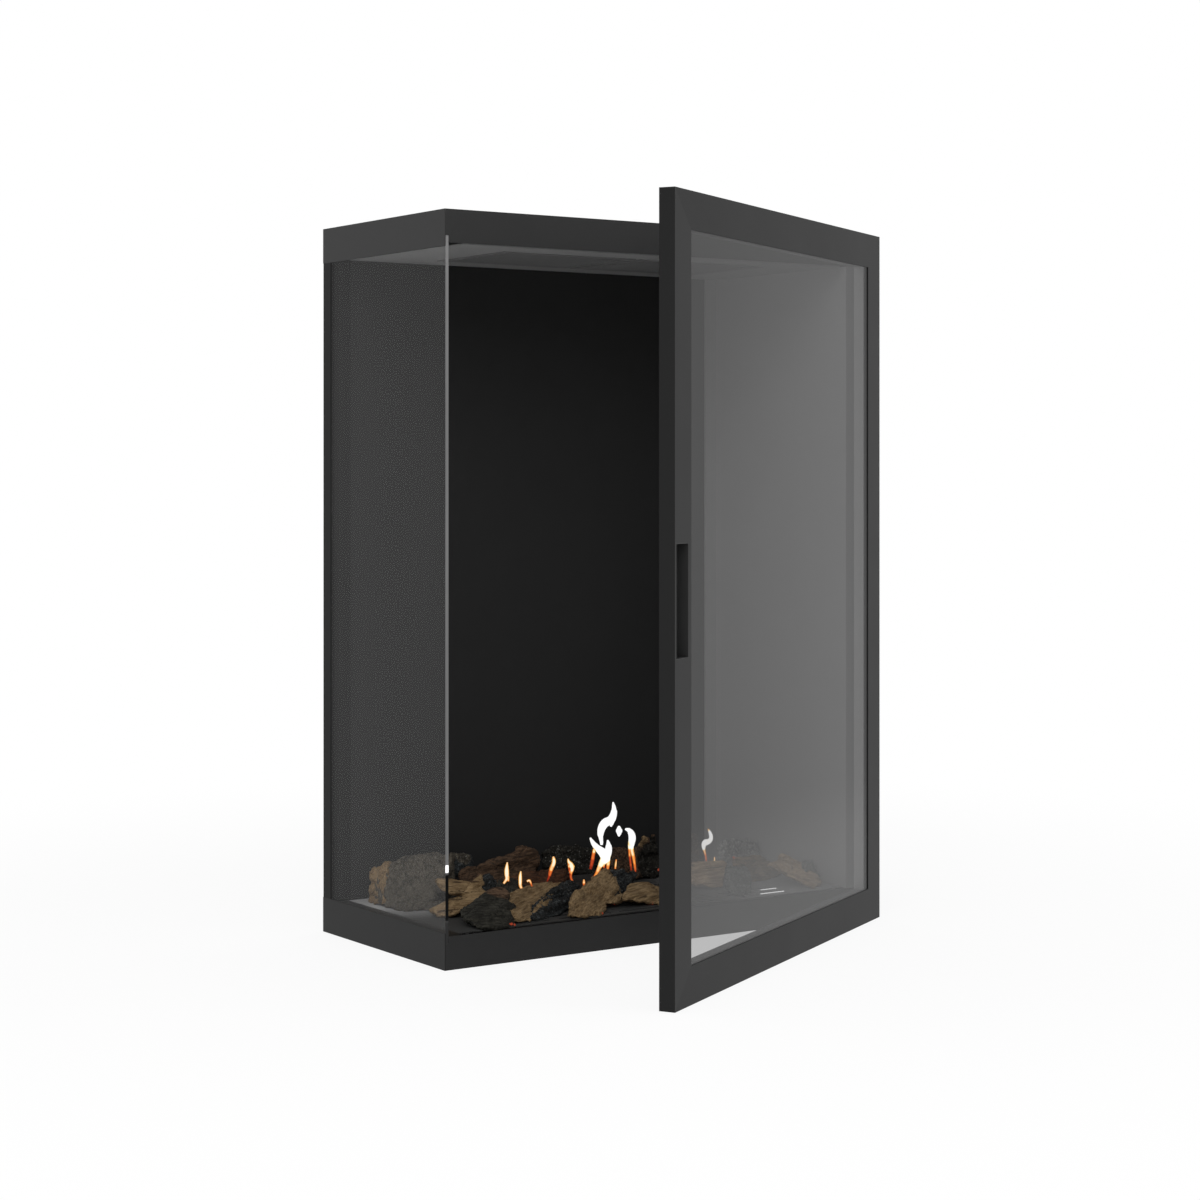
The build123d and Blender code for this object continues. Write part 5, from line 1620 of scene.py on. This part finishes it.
@dataclass(frozen=True)
class Fire:
    """The flames: a bright core inside a wider and cooler veil, and low flames at the slots."""

    core: FlameFinish = FlameFinish(1.6)
    veil: FlameFinish = FlameFinish(1.1, 0.6, 0.32)
    core_swell: float = -1.0
    veil_swell: float = 0.1
    thinnest: float = 0.35
    step: float = 1.6
    sides: int = 12
    flatness: float = 0.55
    heat_blur: float = 2.0
    tongues: tuple[Tongue, ...] = (
        Tongue(150, (
            (387, 189, 1.0, 1.4), (389, 180, 3.6, 1.4), (388, 170, 5.0, 1.4), (382, 161, 6.5, 1.4),
            (373, 160, 6.5, 1.4), (366, 153, 6.0, 1.4), (363, 143, 4.5, 1.4), (365, 133, 2.6, 1.4),
            (366, 126, 2.0, 1.4),
        )),
        Tongue(150, ((386, 164, 4.5, 1.4), (384, 156, 3.0, 1.4), (383, 152, 1.2, 1.4))),
        Tongue(150, (
            (345, 138, 1.2, 1.35), (349, 131, 3.4, 1.35), (356, 123, 4.4, 1.35), (364, 117, 6.0, 1.35),
            (371, 111, 7.6, 1.35), (372, 104, 7.0, 1.35), (366, 98, 4.4, 1.1), (360, 90, 2.8, 0.75),
            (356, 81, 2.4, 0.6), (350, 76, 1.6, 0.4),
        )),
        Tongue(150, (
            (377, 132, 1.2, 1.4), (379, 124, 4.2, 1.4), (378, 114, 5.6, 1.4), (374, 106, 6.0, 1.4),
        )),
        Tongue(151, ((368, 104, 3.0, 0.95), (370, 96, 2.2, 0.7), (371, 90, 1.4, 0.4))),
        Tongue(151, (
            (378, 108, 3.6, 0.95), (379, 98, 2.8, 0.8), (378, 90, 2.2, 0.6), (377, 84, 1.4, 0.4),
        )),
        Tongue(153, (
            (354, 120, 2.0, 0.75), (352, 110, 2.6, 0.5), (350, 100, 2.6, 0.3), (347, 90, 2.0, 0.12),
        )),
        Tongue(150, (
            (398, 152, 1.2, 1.4), (398, 147, 4.6, 1.4), (398, 142, 4.6, 1.4), (398, 136, 1.2, 1.4),
        )),
        Tongue(150, (
            (410, 146, 1.4, 1.35), (416, 145, 3.2, 1.35), (421, 139, 4.8, 1.35), (423, 131, 5.4, 1.35),
            (420, 121, 4.4, 1.35), (422, 112, 2.6, 0.85), (426, 98, 2.2, 0.65), (428, 86, 1.8, 0.5),
            (429, 79, 1.2, 0.35),
        )),
        Tongue(150, (
            (418, 122, 2.6, 0.94), (417, 112, 1.6, 0.6), (419, 98, 1.6, 0.35), (421, 82, 1.2, 0.15),
        )),
        Tongue(124, (
            (180, 119, 1.0, 0.94), (179, 111, 3.4, 0.94), (179, 102, 3.8, 0.94), (180, 95, 2.8, 0.9),
            (176, 91, 1.9, 0.85), (172, 86, 1.7, 0.75), (170, 82, 1.2, 0.6),
        )),
        Tongue(124, ((181, 98, 2.4, 0.9), (182, 91, 1.4, 0.7))),
        Tongue(112, (
            (196, 106, 1.0, 0.94), (195, 100, 2.8, 0.94), (195, 91, 2.8, 0.95), (195, 84, 2.4, 0.85),
            (199, 79, 1.6, 0.6), (202, 73, 1.1, 0.35),
        )),
        Tongue(112, (
            (207, 90, 1.4, 0.9), (210, 92, 1.9, 0.94), (213, 89, 1.6, 0.8), (215, 83, 1.0, 0.45),
            (217, 78, 0.8, 0.3),
        )),
        Tongue(146, (
            (275, 116, 1.6, 0.8), (277, 111, 3.0, 0.95), (276, 105, 3.2, 0.9), (272, 99, 3.0, 0.75),
            (270, 92, 2.6, 0.45), (267, 85, 1.6, 0.2), (264, 80, 0.9, 0.1),
        )),
        Tongue(160, (
            (311, 108, 1.0, 0.94), (312, 103, 2.6, 0.94), (317, 98, 4.4, 0.94), (319, 92, 3.4, 0.95),
            (316, 86, 2.2, 0.7), (316, 79, 1.8, 0.45), (319, 73, 1.8, 0.5), (322, 66, 1.1, 0.2),
        )),
        Tongue(160, ((312, 100, 1.4, 0.7), (313, 92, 1.4, 0.4), (315, 85, 1.2, 0.2))),
        Tongue(160, (
            (340, 74, 1.0, 0.8), (340, 70, 2.4, 0.8), (340, 66, 1.8, 0.45), (340, 62, 0.9, 0.2),
        )),
        Tongue(150, ((393, 101, 0.9, 0.7), (392, 94, 1.6, 0.9), (391, 87, 1.2, 0.7))),
        Tongue(215, (
            (616, 122, 1.0, 0.9), (621, 115, 3.2, 1.35), (623, 106, 3.8, 1.35), (617, 101, 4.6, 1.35),
            (609, 101, 5.6, 1.35), (607, 94, 3.6, 1.35), (609, 87, 1.8, 0.8), (612, 78, 1.6, 0.5),
            (613, 68, 1.1, 0.3),
        )),
        Tongue(215, ((629, 76, 0.8, 0.9), (629, 70, 1.8, 1), (629, 63, 1.0, 0.8))),
        Tongue(54, ((597, 48.5, 0.5, 1.6), (612, 48.5, 0.6, 1.6), (628, 48.5, 0.5, 1.6))),
        Tongue(26, ((575, 48.5, 0.6, 1.6), (598, 48.5, 0.7, 1.6), (621, 48.5, 0.6, 1.6))),
    )

    def _tree(self) -> ShapeBench:
        """Build the tree that wraps a skin round each tongue's line.

        Returns:
            The tree, with its sizes as inputs.
        """
        bench = ShapeBench("flame_skin", Swell=0.0, Step=self.step * MM, Sides=self.sides)
        evenly = {"Curve": bench.given("Geometry"), "Length": bench.given("Step")}
        line = bench.add("GeometryNodeResampleCurve", {"mode": "LENGTH"}, evenly)
        round_ring = {"Resolution": bench.given("Sides"), "Radius": 1.0}
        ring = bench.add("GeometryNodeCurvePrimitiveCircle", {}, round_ring)
        width = bench.add("GeometryNodeInputRadius") + bench.given("Swell")
        width = width.above(self.thinnest * MM)
        skin = {"Curve": line, "Profile Curve": ring, "Scale": width, "Fill Caps": True}
        bench.close(bench.add("GeometryNodeCurveToMesh", {}, skin))
        return bench

    def _lines(self) -> bpy.types.Object:
        """Draw the tongues as one set of smooth curves that carry their width."""
        curve = bpy.data.curves.new("flame_lines", "CURVE")
        curve.dimensions = "3D"
        for tongue in self.tongues:
            spline = curve.splines.new("NURBS")
            spline.points.add(len(tongue.line) - 1)
            for point, (x, z, width, _heat) in zip(spline.points, tongue.line):
                point.co = (*in_casing(x, tongue.depth, z), 1.0)
                point.radius = width * MM
            spline.order_u = 3
            spline.use_endpoint_u = True
        return linked(bpy.data.objects.new("flame_lines", curve))

    def _flatten(self, piece: bpy.types.Object) -> None:
        """Squeeze each tongue from front to back about its own depth."""
        depths = sorted({(tongue.depth - CASING_DEPTH / 2) * MM for tongue in self.tongues})
        for vert in piece.data.vertices:
            middle = min(depths, key=lambda depth: abs(depth - vert.co.y))
            vert.co.y = middle + (vert.co.y - middle) * self.flatness

    def _heat(self, piece: bpy.types.Object) -> None:
        """Keep on every point the heat of the drawn lines, where the nearest places count most."""
        places = [
            (in_casing(x, tongue.depth, z), width * MM, heat)
            for tongue in self.tongues
            for x, z, width, heat in tongue.line
        ]
        kept = piece.data.attributes.new("hotness", "FLOAT", "POINT")
        blur = self.heat_blur * MM
        for vert, value in zip(piece.data.vertices, kept.data):
            total = weight = 0.0
            for place, width, heat in places:
                gap = max((vert.co - place).length, WELD)
                near = 1.0 / (gap / (width + blur)) ** 6
                total += near * heat
                weight += near
            value.value = total / weight

    def build(self) -> list[bpy.types.Object]:
        """Make the flames' core and veil.

        Returns:
            The two finished pieces, riding on the casing.
        """
        tree = self._tree()
        pieces = []
        skins = {"flame_core": (self.core, self.core_swell), "flame_veil": (self.veil, self.veil_swell)}
        for name, (finish, swell) in skins.items():
            lines = self._lines()
            tree.shape(lines, finish.make(name + "_glow"), Swell=swell * MM)
            piece = plain_mesh(lines, name)
            self._flatten(piece)
            self._heat(piece)
            smooth(piece)
            pieces.append(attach(piece, Body.CASING.value))
            log.info("%s: %d faces", name, len(piece.data.polygons))
        return pieces


@dataclass(frozen=True)
class Heap:
    """A few coals: the middle of the heap in casing millimetres, how far they lie from it, and how many."""

    middle: Point
    spread: float
    count: int


@dataclass(frozen=True)
class EmberBed:
    """Glowing coals: small crusted lumps round the places where the logs burn."""

    heaps: tuple[Heap, ...] = (
        Heap((535, 236, 60), 2.5, 4),
        Heap((622, 150, 82), 2.5, 3),
        Heap((278, 24, 48), 4.0, 7),
        Heap((390, 52, 48), 5.0, 4),
        Heap((124, 22, 48), 4.0, 6),
        Heap((336, 90, 48), 14.0, 4),
        Heap((440, 214, 49), 12.0, 8),
        Heap((300, 152, 49), 12.0, 8),
    )
    height: float = 2.0
    lump: float = 1.7
    lump_shares: Span = (0.55, 1.25)
    crust: float = 1.2
    crusts: Noise = Noise(420.0, 3.0)
    finish: EmberFinish = EmberFinish()
    seed: int = 11

    def _tree(self) -> ShapeBench:
        """Build the tree that sets a crusted lump on every point."""
        bench = ShapeBench("ember_lumps", Size=self.lump * MM, Crust=self.crust * MM, Seed=self.seed)
        ball = {"Radius": bench.given("Size"), "Subdivisions": 3}
        least, most = self.lump_shares
        spread = {"Min": least, "Max": most, "Seed": bench.given("Seed")}
        scale = bench.add("FunctionNodeRandomValue", {"data_type": "FLOAT"}, spread, "Value")
        placed = {
            "Points": bench.given("Geometry"),
            "Instance": bench.add("GeometryNodeMeshIcoSphere", {}, ball),
            "Scale": scale,
        }
        lumps = bench.add("GeometryNodeInstanceOnPoints", {}, placed)
        real = bench.add("GeometryNodeRealizeInstances", {}, {"Geometry": lumps})
        rough = bench.noise(bench.add("GeometryNodeInputPosition"), self.crusts) - 0.5
        bench.close(bench.push(real, rough * bench.given("Crust") * 2.0))
        return bench

    def build(self) -> bpy.types.Object:
        """Lay the embers.

        Returns:
            The finished piece, riding on the casing.
        """
        mesh = bmesh.new()
        draw = random.Random(self.seed)
        for heap in self.heaps:
            x, y, z = heap.middle
            for _ in range(heap.count):
                across = draw.uniform(-heap.spread, heap.spread)
                along = draw.uniform(-heap.spread, heap.spread)
                mesh.verts.new(in_casing(x + across, y + along, z + draw.uniform(0.0, self.height)))
        points = drafted("ember_points", mesh)
        self._tree().shape(points, self.finish.make("glowing_coal"))
        piece = plain_mesh(points, "embers")
        log.info("embers: %d faces", len(piece.data.polygons))
        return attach(piece, Body.CASING.value)


@dataclass(frozen=True)
class Lamp:
    """One soft lamp: where it hangs and what it points at, in metres, and its power in watts."""

    name: str
    place: Point
    target: Point
    power: float
    size: float = 2.4

    def hang(self) -> None:
        """Add the lamp to the scene, unseen in gloss and glass."""
        data = bpy.data.lights.new(self.name, "AREA")
        data.shape = "SQUARE"
        data.size = self.size
        data.energy = self.power
        made = linked(bpy.data.objects.new(self.name, data))
        made.location = self.place
        aim = Vector(self.target) - Vector(self.place)
        made.rotation_euler = aim.to_track_quat("-Z", "Y").to_euler()
        made.visible_glossy = False


@dataclass(frozen=True)
class Studio:
    """The pale floor, the soft lamps and the camera, in metres, millimetres of film and degrees."""

    focal: float = 74.467
    sensor: float = 36.0
    shift: float = -0.1069
    heading: float = -34.218
    stand: Point = (-2.14425, -3.15402, 0.69392)
    ambient: float = 0.7
    floor_reach: float = 14.0
    floor_tone: float = 0.94
    shadow_fade: Span = (0.7, 2.0)
    shadow_share: float = 0.12
    lamps: tuple[Lamp, ...] = (
        Lamp("lamp_front_left", (-2.6, -2.6, 2.8), (0.0, 0.0, 0.4), 55.0),
        Lamp("lamp_front_right", (2.4, -3.4, 2.6), (0.1, -0.2, 0.4), 35.0),
    )

    @staticmethod
    def _seen(bench: Bench) -> Wire:
        """Give 1 where the camera, a reflection or a pane of glass looks at a surface."""
        camera, gloss, glass = (
            bench.add("ShaderNodeLightPath", output=f"Is {kind} Ray")
            for kind in ("Camera", "Glossy", "Transmission")
        )
        return camera.above(gloss).above(glass)

    def room(self) -> None:
        """Make a white room that lights softly and shows white in gloss and glass."""
        world = bpy.data.worlds.new("white_room")
        bpy.context.scene.world = world
        world.use_nodes = True
        world.node_tree.nodes.clear()
        bench = Bench(world.node_tree)
        strength = self.ambient + (1.0 - self.ambient) * self._seen(bench)
        white = {"Color": opaque(WHITE), "Strength": strength}
        light = bench.add("ShaderNodeBackground", {}, white)
        out = bench.node("ShaderNodeOutputWorld")
        bench.tree.links.new(light.socket, out.inputs["Surface"])

    def floor(self) -> None:
        """Lay a pale floor that keeps the shadow near the fireplace and fades to white."""
        mesh = bmesh.new()
        bmesh.ops.create_grid(mesh, x_segments=8, y_segments=8, size=self.floor_reach)
        floor = drafted("studio_floor", mesh)
        bench = FinishBench("pale_floor")
        far = bench.vector("LENGTH", bench.place(), output="Value").ramp(*self.shadow_fade)
        share = self._seen(bench) * (1 - self.shadow_share + self.shadow_share * far)
        shader = bench.cover(share, bench.matt(grey(self.floor_tone)), bench.glow(WHITE))
        dress(floor, bench.close(shader))

    def camera(self) -> None:
        """Stand the camera where the photograph was taken from."""
        data = bpy.data.cameras.new("camera")
        data.lens = self.focal
        data.sensor_width = self.sensor
        data.shift_y = self.shift
        data.clip_end = 100.0
        made = linked(bpy.data.objects.new("camera", data))
        made.location = self.stand
        made.rotation_euler = (math.radians(90.0), 0.0, math.radians(self.heading))
        bpy.context.scene.camera = made

    def build(self) -> None:
        """Set up the whole studio."""
        self.room()
        self.floor()
        for lamp in self.lamps:
            lamp.hang()
        self.camera()
        bpy.context.scene.view_settings.view_transform = "Standard"


def main() -> None:
    """Load the frame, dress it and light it."""
    logging.basicConfig(level=logging.INFO, format="%(name)s: %(message)s")
    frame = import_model()
    Casing().paint(frame["nodes"])
    Door().paint(frame["nodes"])
    logs = LogBed().build()
    log.info("%d logs laid", len(logs))
    Fire().build()
    EmberBed().build()
    Studio().build()
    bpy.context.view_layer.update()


if __name__ == "__main__":
    main()
